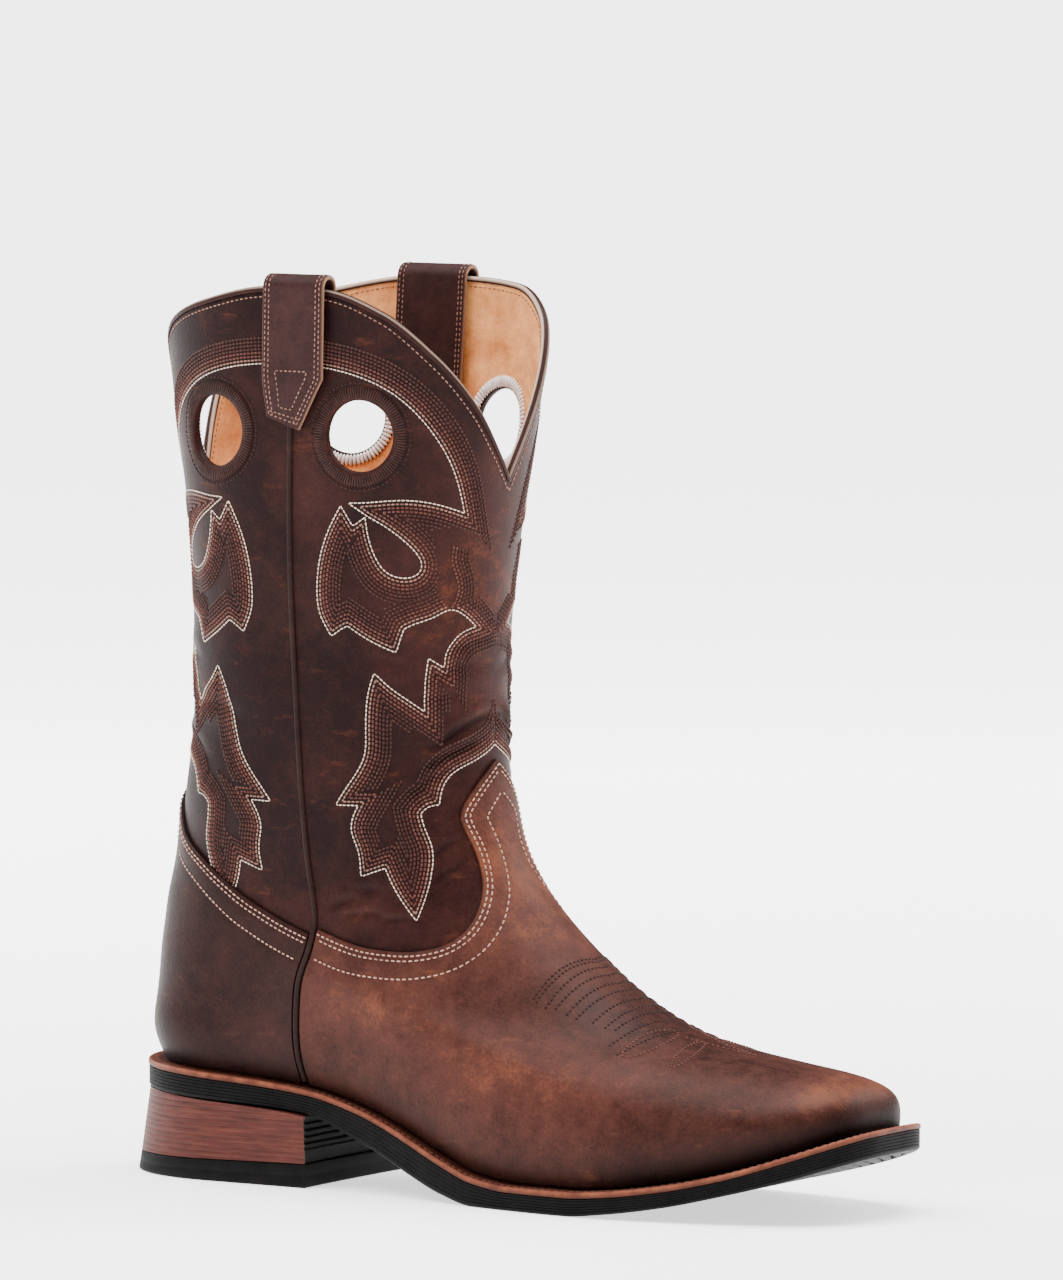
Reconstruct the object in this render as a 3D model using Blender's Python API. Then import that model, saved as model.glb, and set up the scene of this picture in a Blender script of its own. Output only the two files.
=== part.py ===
import bpy
import bmesh
import numpy as np
from mathutils import Matrix, Vector

for old_object in list(bpy.data.objects):
    bpy.data.objects.remove(old_object, do_unlink=True)

# Right-foot western boot. Lengths below are millimetres: x from the back of the heel to the toe,
# y to the inner side of the foot, z up from the ground. The root empty centres the boot.
MM = 0.001
BOOT_LENGTH = 310.0
FIT_GAP = 0.3

# Leather and sole sizes
WALL = 2.2
OVERLAY = 1.2
OVERLAY_START = 0.1
OVERLAY_GAP = 0.4
WELT_THICK = 2.2
INSOLE_PROUD = 1.2
PIPING_RADIUS = 1.2
PIPING_TOP = 270.5
BINDING_THICK = 1.0
BINDING_DEPTH = 2.4
BINDING_GAP = 0.55
STRAP_THICK = 1.8
STRAP_HALF = {-1.0: 12.8, 1.0: 14.8}
STRAP_AHEAD = {-1.0: 2.3, 1.0: 0.6}
STRAP_TIP_HALF = 6.8
STRAP_TIP_BACK = 4.2
STRAP_TIP_LEAN = 2.3
STRAP_TIP_Z = 274.0
STRAP_TAPER_Z = 290.0
STRAP_INSIDE_Z = 280.0
STRAP_LOOP_Z = 322.0
HOLE_RADIUS = 13.2
HOLE_Z = 270.0
HOLE_SPOTS = {-1.0: (0.694, 1.36), 1.0: (0.63, 1.345)}

# Heel: outline at its top, under the sole, and at the ground
HEEL_TOP_BACK = 5.5
HEEL_TOP_BREAST = 88.0
HEEL_TOP_HALF = 36.0
HEEL_FOOT_BACK = 0.0
HEEL_FOOT_BREAST = 88.0
HEEL_FOOT_HALF = 35.0
HEEL_ROUND = 44.0
HEEL_BREAST_BOW = 0.8
HEEL_TOP_Z = 30.0
HEEL_TOP_EASE = 2.0
CAP_BACK = 7.0
CAP_FRONT = 8.6

# Half-widths in a section are given at these places along the foot
STATION_X = (45.0, 120.0, 212.0, 290.0)
END_POWER = 2.6
ANKLE_LEVEL = 8.0
WAIST_X = 145.0
WAIST_SPREAD = 55.0
WAIST_SHIFT = -3.2
INNER_SEAM_SHIFT = 4.5
TOE_SWING = 3.5
TOE_SWING_FROM = 180.0
TOE_SWING_OVER = 125.0

# One row for each section of the upper, from the feather line to above the collar. The foot rows
# dip with the sole. nose, blunt and tail shape the ends of the section; seam is the side seam's x.
SECTION_COLUMNS = ("front_x", "front_z", "back_x", "back_z", "heel", "waist", "ball", "toe",
                   "nose", "blunt", "tail", "seam")
SECTIONS = (
    (300.6, 30.0, 13.6, 41.0, 29.3, 27.2, 42.2, 28.6, 24.0, 4.0, 44.0, 84.9),
    (300.2, 38.6, 9.8, 52.0, 34.0, 33.0, 46.3, 31.8, 30.0, 3.8, 46.0, 84.9),
    (296.6, 44.2, 10.0, 62.0, 35.0, 35.8, 46.5, 31.5, 46.0, 3.0, 48.0, 85.2),
    (287.0, 48.0, 10.8, 72.0, 35.0, 37.5, 44.5, 30.0, 80.0, 2.3, 50.0, 86.2),
    (265.0, 51.2, 11.2, 82.0, 34.8, 38.5, 42.0, 30.0, 124.0, 2.0, 52.0, 87.6),
    (237.0, 56.0, 12.2, 91.0, 34.5, 39.0, 40.0, 30.0, 162.0, 2.0, 53.0, 90.0),
    (209.4, 67.3, 13.6, 101.0, 34.2, 39.2, 39.0, 30.0, 150.0, 2.0, 54.0, 93.0),
    (186.0, 83.6, 16.2, 112.0, 34.2, 39.2, 38.5, 34.0, 126.0, 2.0, 55.0, 94.0),
    (166.6, 101.0, 18.2, 124.0, 35.0, 39.2, 38.5, 36.0, 100.0, 2.0, 56.0, 92.0),
    (152.9, 121.0, 20.2, 138.0, 37.0, 39.4, 39.0, 38.0, 76.0, 2.0, 58.0, 90.4),
    (146.6, 148.0, 23.8, 157.0, 39.2, 39.6, 39.6, 39.6, 62.0, 2.0, 60.0, 89.0),
    (145.4, 180.0, 24.8, 184.0, 40.2, 40.2, 40.2, 40.2, 56.0, 2.0, 60.0, 87.7),
    (147.4, 215.0, 24.8, 217.0, 41.6, 41.6, 41.6, 41.6, 54.0, 2.0, 60.0, 86.8),
    (151.8, 252.0, 21.6, 253.0, 43.4, 43.4, 43.4, 43.4, 55.0, 2.2, 60.0, 87.6),
    (157.6, 292.0, 16.4, 292.0, 45.2, 45.2, 45.2, 45.2, 58.0, 2.4, 64.0, 89.4),
    (163.4, 335.0, 13.2, 335.0, 46.4, 46.4, 46.4, 46.4, 60.0, 2.5, 66.0, 91.0),
)

# Side profile of the bottom: top of the welt and underside of the outsole
PROFILE_COLUMNS = ("x", "seat", "under")
PROFILE = (
    (0.0, 41.6, 31.6),
    (45.0, 39.2, 29.4),
    (88.0, 35.3, 26.2),
    (106.0, 31.4, 20.2),
    (120.0, 27.0, 14.8),
    (135.0, 21.2, 8.4),
    (150.0, 15.2, 3.0),
    (165.0, 10.4, 0.0),
    (182.0, 8.6, 0.0),
    (206.0, 8.6, 0.0),
    (221.0, 9.6, 1.4),
    (244.0, 12.8, 5.0),
    (264.0, 17.2, 9.6),
    (284.0, 23.4, 15.0),
    (300.0, 29.2, 20.2),
    (312.0, 33.8, 24.4),
)

# How far the welt stands out around the feather line: share of the way round, front to back
WELT_REACH = ((0.0, 9.2), (0.35, 9.2), (0.7, 8.1), (1.0, 7.2), (1.5, 7.4), (2.0, 9.0))

# Height of the collar on the outer and inner side, from the front point past the seam to the back
COLLAR_COLUMNS = ("around", "outer", "inner")
COLLAR = (
    (0.00, 254.0, 254.0),
    (0.11, 266.0, 270.0),
    (0.23, 280.0, 287.0),
    (0.42, 298.5, 309.5),
    (0.62, 313.0, 319.6),
    (0.84, 320.6, 321.6),
    (1.00, 322.0, 322.0),
    (1.14, 321.2, 321.2),
    (1.38, 316.3, 317.0),
    (1.60, 309.0, 310.5),
    (1.78, 296.5, 300.0),
    (1.90, 272.0, 277.0),
    (2.00, 254.0, 254.0),
)

# Edges of the two overlays, seen from the side
VAMP_EDGE = ((70.0, 97.0), (95.0, 93.8), (101.0, 91.8), (107.0, 90.0), (114.0, 88.3),
             (121.0, 87.4), (127.0, 87.1), (133.0, 87.3), (138.2, 88.0), (143.4, 89.6),
             (148.0, 92.6), (150.6, 96.0), (151.8, 100.2), (152.2, 104.6), (151.9, 109.5),
             (150.6, 113.9), (148.8, 118.3), (146.7, 122.7), (144.6, 126.8), (142.9, 131.0),
             (142.2, 134.0), (142.7, 137.4), (144.1, 140.8), (145.9, 144.6), (147.2, 148.6),
             (147.9, 152.6), (148.2, 157.0), (170.0, 161.0), (330.0, 161.0), (330.0, -20.0),
             (70.0, -20.0))
COUNTER_EDGE = ((120.0, 83.0), (93.6, 91.2), (84.7, 94.1), (77.2, 97.2), (69.6, 100.5),
                (61.7, 104.3), (56.2, 107.5), (50.1, 110.8), (43.5, 114.4), (37.5, 117.6),
                (32.2, 120.4), (28.5, 123.0), (26.5, 127.0), (24.5, 132.0), (21.5, 136.0),
                (15.0, 138.5), (-20.0, 139.0), (-20.0, -20.0), (120.0, -20.0))

# Mesh fineness
FRONT_COLUMNS = 16
BACK_COLUMNS = 10
DENSE = 260
FOOT_LEVELS = (0.0, 0.5, 1.0, 1.5, 2.0, 2.6, 3.3, 4.1, 5.0, 6.0, 7.0, 8.0, 9.0, 9.8, 10.8)
SHAFT_ROWS = 4


def natural_spline(knots, values, at):
    """Smooth curve through values at knots, straight beyond both ends."""
    knots = np.asarray(knots, float)
    values = np.asarray(values, float)
    at = np.asarray(at, float)
    count = len(knots)
    step = np.diff(knots)
    system = np.eye(count)
    bend = np.zeros_like(values)
    for i in range(1, count - 1):
        system[i, i - 1:i + 2] = (step[i - 1], 2.0 * (step[i - 1] + step[i]), step[i])
        bend[i] = 6.0 * ((values[i + 1] - values[i]) / step[i] - (values[i] - values[i - 1]) / step[i - 1])
    curve = np.linalg.solve(system, bend)
    k = np.clip(np.searchsorted(knots, at, side="right") - 1, 0, count - 2)
    inside = np.clip(at, knots[0], knots[-1])
    shape = at.shape + (1,) * (values.ndim - 1)
    h = step[k].reshape(shape)
    a = (knots[k + 1] - inside).reshape(shape) / h
    b = 1.0 - a
    smooth = (a * values[k] + b * values[k + 1]
              + ((a ** 3 - a) * curve[k] + (b ** 3 - b) * curve[k + 1]) * h * h / 6.0)
    slope = ((values[k + 1] - values[k]) / h
             - (3 * a * a - 1) * h * curve[k] / 6.0 + (3 * b * b - 1) * h * curve[k + 1] / 6.0)
    return smooth + slope * (at - inside).reshape(shape)


def monotone(table, at):
    """Curve through (place, value) rows that never overshoots them."""
    x = np.array([row[0] for row in table], float)
    y = np.array([row[1] for row in table], float)
    h = np.diff(x)
    d = np.diff(y) / h
    slope = np.zeros_like(x)
    slope[0] = d[0]
    slope[-1] = d[-1]
    same = d[:-1] * d[1:] > 0
    w1 = 2 * h[1:] + h[:-1]
    w2 = h[1:] + 2 * h[:-1]
    safe0 = np.where(same, d[:-1], 1.0)
    safe1 = np.where(same, d[1:], 1.0)
    slope[1:-1] = np.where(same, (w1 + w2) / (w1 / safe0 + w2 / safe1), 0.0)
    at = np.clip(np.asarray(at, float), x[0], x[-1])
    k = np.clip(np.searchsorted(x, at, side="right") - 1, 0, len(x) - 2)
    t = (at - x[k]) / h[k]
    return (y[k] * (1 + 2 * t) * (1 - t) ** 2 + y[k + 1] * t * t * (3 - 2 * t)
            + h[k] * (slope[k] * t * (1 - t) ** 2 + slope[k + 1] * t * t * (t - 1)))


def seat(x):
    """Height of the welt's top along the foot."""
    return monotone([(row[0], row[1]) for row in PROFILE], x)


def under(x):
    """Height of the outsole's underside along the foot."""
    return monotone([(row[0], row[2]) for row in PROFILE], x)


# The feather line lies on the seat at both ends
SECTION_ROWS = np.array(SECTIONS)
SECTION_ROWS[0, 1] = seat(SECTION_ROWS[0, 0])
SECTION_ROWS[0, 3] = seat(SECTION_ROWS[0, 2])


def half_sections(level, side):
    """Dense half sections of the upper for an array of levels; side is -1 outer or +1 inner."""
    level = np.asarray(level, float)
    rows = natural_spline(np.arange(len(SECTION_ROWS)), SECTION_ROWS, level)
    col = {name: rows[:, [i]] for i, name in enumerate(SECTION_COLUMNS)}
    turn = np.linspace(0.0, np.pi, DENSE + 1)
    share = (1.0 - np.cos(turn))[None, :] / 2.0
    span = col["front_x"] - col["back_x"]
    x = col["front_x"] - span * share
    basis = natural_spline(STATION_X, np.eye(4), x.ravel()).reshape(x.shape + (4,))
    widths = np.concatenate([col[name] for name in ("heel", "waist", "ball", "toe")], axis=1)
    width = np.einsum("nki,ni->nk", basis, widths)
    ahead = np.clip((col["front_x"] - x) / col["nose"], 0.0, 1.0)
    behind = np.clip((x - col["back_x"]) / col["tail"], 0.0, 1.0)
    nose = (1.0 - (1.0 - ahead) ** END_POWER) ** (1.0 / col["blunt"])
    tail = np.sqrt(1.0 - (1.0 - behind) ** END_POWER)
    step = np.clip(level / ANKLE_LEVEL, 0.0, 1.0)[:, None]
    foot = 1.0 - step * step * (3.0 - 2.0 * step)
    shift = WAIST_SHIFT * foot * np.exp(-((x - WAIST_X) / WAIST_SPREAD) ** 2) * nose * tail
    shift = shift + TOE_SWING * foot * np.clip((x - TOE_SWING_FROM) / TOE_SWING_OVER, 0.0, 1.0) ** 2
    y = side * width * nose * tail + shift
    ends = np.concatenate([seat(col["front_x"]), seat(col["back_x"])], axis=1)
    chord = ends[:, [0]] * (1.0 - share) + ends[:, [1]] * share
    z = col["front_z"] * (1.0 - share) + col["back_z"] * share + foot * (seat(x) - chord)
    points = np.stack([x, y, z], axis=2)
    run = np.linalg.norm(np.diff(points, axis=1), axis=2)
    run = np.concatenate([np.zeros((len(level), 1)), np.cumsum(run, axis=1)], axis=1)
    seam_x = col["seam"] + (INNER_SEAM_SHIFT if side > 0 else 0.0)
    seam_share = np.clip((col["front_x"] - seam_x) / span, 0.0, 1.0)[:, 0]
    place = np.arccos(1.0 - 2.0 * seam_share) / np.pi * DENSE
    k = np.clip(place.astype(int), 0, DENSE - 1)
    pick = np.arange(len(level))
    seam_run = run[pick, k] + (place - k) * (run[pick, k + 1] - run[pick, k])
    return points, run, seam_run


def surface(level, around):
    """Points of the upper's outer face. around: 0 front, 1 side seam, 2 back; minus is the outer side."""
    level = np.asarray(level, float)
    around = np.asarray(around, float)
    level, around = np.broadcast_arrays(level, around)
    flat_level = level.ravel()
    flat_around = (around.ravel() + 2.0) % 4.0 - 2.0
    result = np.zeros((flat_level.size, 3))
    for side in (-1.0, 1.0):
        mine = flat_around < 0 if side < 0 else flat_around >= 0
        if not mine.any():
            continue
        points, run, seam_run = half_sections(flat_level[mine], side)
        share = np.abs(flat_around[mine])
        target = np.where(share < 1.0, share * seam_run, seam_run + (share - 1.0) * (run[:, -1] - seam_run))
        k = np.clip((run < target[:, None]).sum(axis=1) - 1, 0, DENSE - 1)
        pick = np.arange(len(k))
        t = (target - run[pick, k]) / (run[pick, k + 1] - run[pick, k])
        result[mine] = points[pick, k] * (1.0 - t)[:, None] + points[pick, k + 1] * t[:, None]
    return result.reshape(level.shape + (3,))


def outward(level, around):
    """Unit normals of the upper's outer face."""
    level, around = np.broadcast_arrays(np.asarray(level, float), np.asarray(around, float))
    up = surface(level + 0.04, around) - surface(np.maximum(level - 0.04, 0.0), around)
    along = surface(level, around + 0.02) - surface(level, around - 0.02)
    normal = np.cross(along, up)
    return normal / np.linalg.norm(normal, axis=-1, keepdims=True)


def lifted(level, around, distance):
    """Points at a distance outside the upper's outer face."""
    level, around = np.broadcast_arrays(np.asarray(level, float), np.asarray(around, float))
    return surface(level, around) + outward(level, around) * np.asarray(distance, float)[..., None]


def level_at(around, height):
    """Level of the upper at a height on each line around."""
    around, height = np.broadcast_arrays(np.asarray(around, float), np.asarray(height, float))
    ladder = np.linspace(4.0, len(SECTIONS) - 1.0, 90)
    result = np.zeros(around.size)
    for i, (spot, z) in enumerate(zip(around.ravel(), height.ravel())):
        result[i] = np.interp(z, surface(ladder, np.full_like(ladder, spot))[:, 2], ladder)
    return result.reshape(around.shape)


def around_beside(level, side, width):
    """Place around the upper at a width behind (plus) or ahead of (minus) a side seam."""
    level, width = np.broadcast_arrays(np.asarray(level, float), np.asarray(width, float))
    points, run, seam_run = half_sections(level.ravel(), side)
    back_run = run[:, -1] - seam_run
    flat = width.ravel()
    around = 1.0 + np.where(flat < 0, flat / seam_run, flat / back_run)
    return side * around.reshape(level.shape)


def finish(name, colour, roughness, metallic=0.0):
    """Plain material for one piece."""
    material = bpy.data.materials.new(name)
    material.use_nodes = True
    shader = material.node_tree.nodes["Principled BSDF"]
    shader.inputs["Base Color"].default_value = colour + (1.0,)
    shader.inputs["Roughness"].default_value = roughness
    shader.inputs["Metallic"].default_value = metallic
    return material


root = bpy.data.objects.new("root", None)
bpy.context.collection.objects.link(root)


def add_mesh(name, points, faces, material):
    """Mesh object from points in millimetres."""
    shape = bmesh.new()
    verts = [shape.verts.new(Vector(p) * MM) for p in np.asarray(points, float).reshape(-1, 3)]
    for face in faces:
        shape.faces.new([verts[i] for i in face])
    mesh = bpy.data.meshes.new(name)
    shape.to_mesh(mesh)
    shape.free()
    mesh.shade_smooth()
    mesh.set_sharp_from_angle(angle=np.radians(40.0))
    piece = bpy.data.objects.new(name, mesh)
    bpy.context.collection.objects.link(piece)
    piece.parent = root
    if material is not None:
        mesh.materials.append(material)
    return piece


def grid_faces(rows, columns, ring):
    """Quads of a grid, closed around when ring is set."""
    faces = []
    for r in range(rows - 1):
        for c in range(columns if ring else columns - 1):
            d = (c + 1) % columns
            faces.append((r * columns + c, r * columns + d, (r + 1) * columns + d, (r + 1) * columns + c))
    return faces


def sheet(name, grid, ring, thickness, offset, material):
    """Sheet of leather: a grid given thickness."""
    piece = add_mesh(name, grid, grid_faces(grid.shape[0], grid.shape[1], ring), material)
    solid = piece.modifiers.new("thickness", "SOLIDIFY")
    solid.thickness = thickness * MM
    solid.offset = offset
    return piece


def slab(name, loops, material):
    """Solid between stacked loops, bottom to top, whose two sides pair up across the boot."""
    loops = np.asarray(loops, float)
    count = loops.shape[1]
    faces = grid_faces(loops.shape[0], count, True)
    top = (loops.shape[0] - 1) * count
    left = list(range(1, (count + 1) // 2))
    right = [count - i for i in left]
    rungs = list(zip(left, right))
    ladder = [(0, left[0], right[0])]
    for (a, b), (c, d) in zip(rungs[:-1], rungs[1:]):
        ladder.append((b, a, c, d))
    if count % 2 == 0:
        ladder.append((rungs[-1][1], rungs[-1][0], count // 2))
    for face in ladder:
        faces.append(tuple(top + i for i in face))
        faces.append(tuple(reversed(face)))
    return add_mesh(name, loops, faces, material)


def ring_bar(name, sections, material):
    """Closed bar around the boot from loops that follow each other round its section."""
    sections = np.asarray(sections, float)
    count, columns = sections.shape[0], sections.shape[1]
    faces = []
    for s in range(count):
        t = (s + 1) % count
        for c in range(columns):
            d = (c + 1) % columns
            faces.append((s * columns + c, s * columns + d, t * columns + d, t * columns + c))
    return add_mesh(name, sections, faces, material)


def prism_cutter(name, outline):
    """Guide block: a side view outline drawn across the boot."""
    shape = bmesh.new()
    verts = [shape.verts.new((x * MM, -0.09, z * MM)) for x, z in outline]
    face = shape.faces.new(verts)
    moved = bmesh.ops.extrude_face_region(shape, geom=[face])
    for item in moved["geom"]:
        if isinstance(item, bmesh.types.BMVert):
            item.co.y = 0.09
    bmesh.ops.recalc_face_normals(shape, faces=shape.faces)
    mesh = bpy.data.meshes.new(name)
    shape.to_mesh(mesh)
    shape.free()
    return guide(bpy.data.objects.new(name, mesh))


def guide(piece):
    """Marks an object as a guide that is not part of the boot."""
    bpy.context.collection.objects.link(piece)
    piece.parent = root
    piece.hide_render = True
    piece.display_type = "WIRE"
    return piece


def boolean(piece, other, operation):
    """Boolean of a piece with a guide."""
    cut = piece.modifiers.new(other.name, "BOOLEAN")
    cut.operation = operation
    cut.solver = "EXACT"
    cut.object = other


shaft_leather = finish("shaft_leather", (0.075, 0.036, 0.024), 0.55)
vamp_leather = finish("vamp_leather", (0.110, 0.045, 0.024), 0.45)
counter_leather = finish("counter_leather", (0.095, 0.041, 0.025), 0.48)
edge_leather = finish("edge_leather", (0.045, 0.024, 0.018), 0.5)
strap_leather = finish("strap_leather", (0.080, 0.038, 0.024), 0.5)
insole_leather = finish("insole_leather", (0.42, 0.27, 0.14), 0.7)
welt_leather = finish("welt_leather", (0.24, 0.10, 0.045), 0.55)
sole_rubber = finish("sole_rubber", (0.018, 0.016, 0.016), 0.7)
heel_leather = finish("heel_leather", (0.17, 0.065, 0.035), 0.5)
cap_rubber = finish("cap_rubber", (0.015, 0.014, 0.014), 0.75)

# Lines around the upper: back centre, outer seam, front centre, inner seam
steps = np.linspace(0.0, 1.0, FRONT_COLUMNS + 1)
front_shares = steps * (0.6 + 0.4 * steps)
back_shares = 1.0 + np.linspace(0.0, 1.0, BACK_COLUMNS + 1)
half = np.concatenate([front_shares, back_shares[1:]])
columns = np.concatenate([-half[::-1], half[1:-1]])

# Upper: shaft, foot and throat in one hollow piece
outer_collar = monotone([(row[0], row[1]) for row in COLLAR], np.abs(columns))
inner_collar = monotone([(row[0], row[2]) for row in COLLAR], np.abs(columns))
collar_levels = level_at(columns, np.where(columns < 0, outer_collar, inner_collar))
start = FOOT_LEVELS[-1]
shares = np.linspace(0.0, 1.0, SHAFT_ROWS + 1)[1:]
foot_rows = np.array(FOOT_LEVELS)[:, None] + np.zeros_like(columns)[None, :]
shaft_rows = start + (collar_levels - start)[None, :] * shares[:, None]
upper_levels = np.concatenate([foot_rows, shaft_rows])
upper_grid = surface(upper_levels, columns[None, :])
upper_grid[:, :, 2] += FIT_GAP
upper = sheet("upper", upper_grid, True, WALL, -1.0, shaft_leather)

# Pull holes through the shaft, two on each side
for side in (-1.0, 1.0):
    for index, spot in enumerate(HOLE_SPOTS[side]):
        place = np.array([side * spot])
        level = level_at(place, np.array([HOLE_Z]))
        centre = surface(level, place)[0]
        axis = Vector(outward(level, place)[0])
        shape = bmesh.new()
        bmesh.ops.create_cone(shape, cap_ends=True, segments=28, radius1=HOLE_RADIUS * MM,
                              radius2=HOLE_RADIUS * MM, depth=0.02)
        mesh = bpy.data.meshes.new("hole")
        shape.to_mesh(mesh)
        shape.free()
        cutter = guide(bpy.data.objects.new(f"hole_{'outer' if side < 0 else 'inner'}_{index}", mesh))
        turn = axis.to_track_quat("Z", "Y").to_matrix().to_4x4()
        cutter.matrix_local = Matrix.Translation(Vector(centre) * MM) @ turn
        boolean(upper, cutter, "DIFFERENCE")

# Overlays: vamp in front of the side seams and counter behind them
seam_room = PIPING_RADIUS + 2 * FIT_GAP
foot_levels = np.array((OVERLAY_START,) + FOOT_LEVELS[1:] + (11.6,))[:, None]
vamp_inner = np.concatenate([-front_shares[:0:-1], front_shares[:-1], front_shares[-1:]])
vamp_around = foot_levels * 0.0 + vamp_inner[None, :]
vamp_around[:, 0] = around_beside(foot_levels[:, 0], -1.0, -seam_room)
vamp_around[:, -1] = around_beside(foot_levels[:, 0], 1.0, -seam_room)
vamp_grid = lifted(foot_levels, vamp_around, np.full(vamp_around.shape, OVERLAY_GAP))
vamp_grid[:, :, 2] += FIT_GAP
vamp = sheet("vamp", vamp_grid, False, OVERLAY, 1.0, vamp_leather)
boolean(vamp, prism_cutter("vamp_outline", VAMP_EDGE), "INTERSECT")

counter_line = np.concatenate([back_shares, 4.0 - back_shares[-2::-1]])
counter_around = foot_levels * 0.0 + counter_line[None, :]
counter_around[:, 0] = around_beside(foot_levels[:, 0], 1.0, seam_room)
counter_around[:, -1] = 4.0 + around_beside(foot_levels[:, 0], -1.0, seam_room)
counter_grid = lifted(foot_levels, counter_around, np.full(counter_around.shape, OVERLAY_GAP))
counter_grid[:, :, 2] += FIT_GAP
counter = sheet("counter", counter_grid, False, OVERLAY, 1.0, counter_leather)
boolean(counter, prism_cutter("counter_outline", COUNTER_EDGE), "INTERSECT")

# Piping down both side seams
for side, name in ((-1.0, "side_piping_outer"), (1.0, "side_piping_inner")):
    top = float(level_at(np.array([side]), np.array([PIPING_TOP]))[0])
    levels = np.linspace(0.25, top, 24)
    path = lifted(levels, np.full_like(levels, side), np.full_like(levels, FIT_GAP + PIPING_RADIUS))
    curve = bpy.data.curves.new(name, "CURVE")
    curve.dimensions = "3D"
    curve.bevel_depth = PIPING_RADIUS * MM
    curve.bevel_resolution = 1
    curve.use_fill_caps = True
    spline = curve.splines.new("POLY")
    spline.points.add(len(path) - 1)
    for point, place in zip(spline.points, path):
        point.co = (place[0] * MM, place[1] * MM, place[2] * MM, 1.0)
    curve.materials.append(edge_leather)
    piping = bpy.data.objects.new(name, curve)
    bpy.context.collection.objects.link(piping)
    piping.parent = root

# Binding folded over the collar edge, deeper where the edge is steep
edge_points = surface(collar_levels, columns)
onward = np.roll(edge_points, -1, axis=0) - edge_points
climb = np.abs(onward[:, 2]) / np.linalg.norm(onward, axis=1)
steep = np.maximum(climb, np.roll(climb, 1))
stretch = 1.0 / np.sqrt(1.0 - steep ** 2)
wrap_out = BINDING_GAP + BINDING_THICK
wrap_top = BINDING_GAP + BINDING_THICK
wrap = ((BINDING_GAP, -BINDING_DEPTH), (wrap_out, -BINDING_DEPTH), (wrap_out, 0.6 * wrap_top),
        (0.3 * wrap_out, wrap_top), (-WALL - 0.3 * wrap_out, wrap_top), (-WALL - wrap_out, 0.6 * wrap_top),
        (-WALL - wrap_out, -BINDING_DEPTH), (-WALL - BINDING_GAP, -BINDING_DEPTH),
        (-WALL - BINDING_GAP, BINDING_GAP), (BINDING_GAP, BINDING_GAP))
binding_loops = []
for sideways, height in wrap:
    levels = level_at(columns, edge_points[:, 2] + height * stretch)
    loop = lifted(levels, columns, np.full_like(columns, sideways))
    loop[:, 2] += FIT_GAP
    binding_loops.append(loop)
ring_bar("collar_binding", binding_loops, edge_leather)

# Pull straps: outer leg, loop over the collar, inner leg
loop_radius = WALL / 2 + wrap_out + FIT_GAP + STRAP_THICK / 2
out_side = loop_radius - WALL / 2
arc = np.radians(np.linspace(0.0, 180.0, 9))
path = [(z, out_side) for z in np.linspace(STRAP_TIP_Z, STRAP_LOOP_Z, 9)[:-1]]
path += [(STRAP_LOOP_Z + loop_radius * np.sin(a), loop_radius * np.cos(a) - WALL / 2) for a in arc]
path += [(z, -WALL - out_side) for z in np.linspace(STRAP_LOOP_Z, STRAP_INSIDE_Z, 6)[1:]]
path = np.array(path)
outer_leg = np.arange(len(path)) < 8
tip = np.interp(path[:, 0], (STRAP_TIP_Z, STRAP_TAPER_Z), (1.0, 0.0)) * outer_leg
across = np.linspace(-1.0, 1.0, 6)
for side, name in ((-1.0, "pull_strap_outer"), (1.0, "pull_strap_inner")):
    strap_half = STRAP_HALF[side] + (STRAP_TIP_HALF - STRAP_HALF[side]) * tip
    ahead = STRAP_AHEAD[side] - STRAP_TIP_BACK * tip
    seam_levels = level_at(np.full(len(path), side), path[:, 0])
    width = across[None, :] * strap_half[:, None] * -side - ahead[:, None]
    around = around_beside(np.repeat(seam_levels[:, None], len(across), axis=1), side, width)
    height = path[:, [0]] - STRAP_TIP_LEAN * side * across[None, :] * tip[:, None]
    levels = level_at(around, height)
    grid = lifted(levels, around, np.repeat(path[:, [1]], len(across), axis=1))
    sheet(name, grid, False, STRAP_THICK, 0.0, strap_leather)

# Bottom of the boot, drawn from the feather line
feather = surface(np.zeros_like(columns), columns)
plan = np.roll(feather, -1, axis=0) - np.roll(feather, 1, axis=0)
plan_out = np.stack([plan[:, 1], -plan[:, 0]], axis=1)
plan_out /= np.linalg.norm(plan_out, axis=1, keepdims=True)
reach = monotone(WELT_REACH, np.abs(columns))


def bottom_loop(distance, height):
    """Loop at a distance outside the feather line, at a height that depends on x."""
    xy = feather[:, :2] + plan_out * np.broadcast_to(distance, reach.shape)[:, None]
    return np.column_stack([xy, height(xy[:, 0])])


def between(share):
    """Height a share of the way up the outsole."""
    return lambda x: under(x) + share * (seat(x) - WELT_THICK - FIT_GAP - under(x))


inner_edge = -(WALL + 1.0)
ring_bar("welt", [
    bottom_loop(inner_edge, lambda x: seat(x) - WELT_THICK),
    bottom_loop(reach - 0.4, lambda x: seat(x) - WELT_THICK),
    bottom_loop(reach, lambda x: seat(x) - WELT_THICK + 0.5),
    bottom_loop(reach, lambda x: seat(x) - 0.5),
    bottom_loop(reach - 0.5, seat),
    bottom_loop(inner_edge, seat),
], welt_leather)

slab("insole", [
    bottom_loop(inner_edge - FIT_GAP, lambda x: seat(x) - WELT_THICK + FIT_GAP),
    bottom_loop(inner_edge - FIT_GAP, lambda x: seat(x) + INSOLE_PROUD),
], insole_leather)

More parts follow.
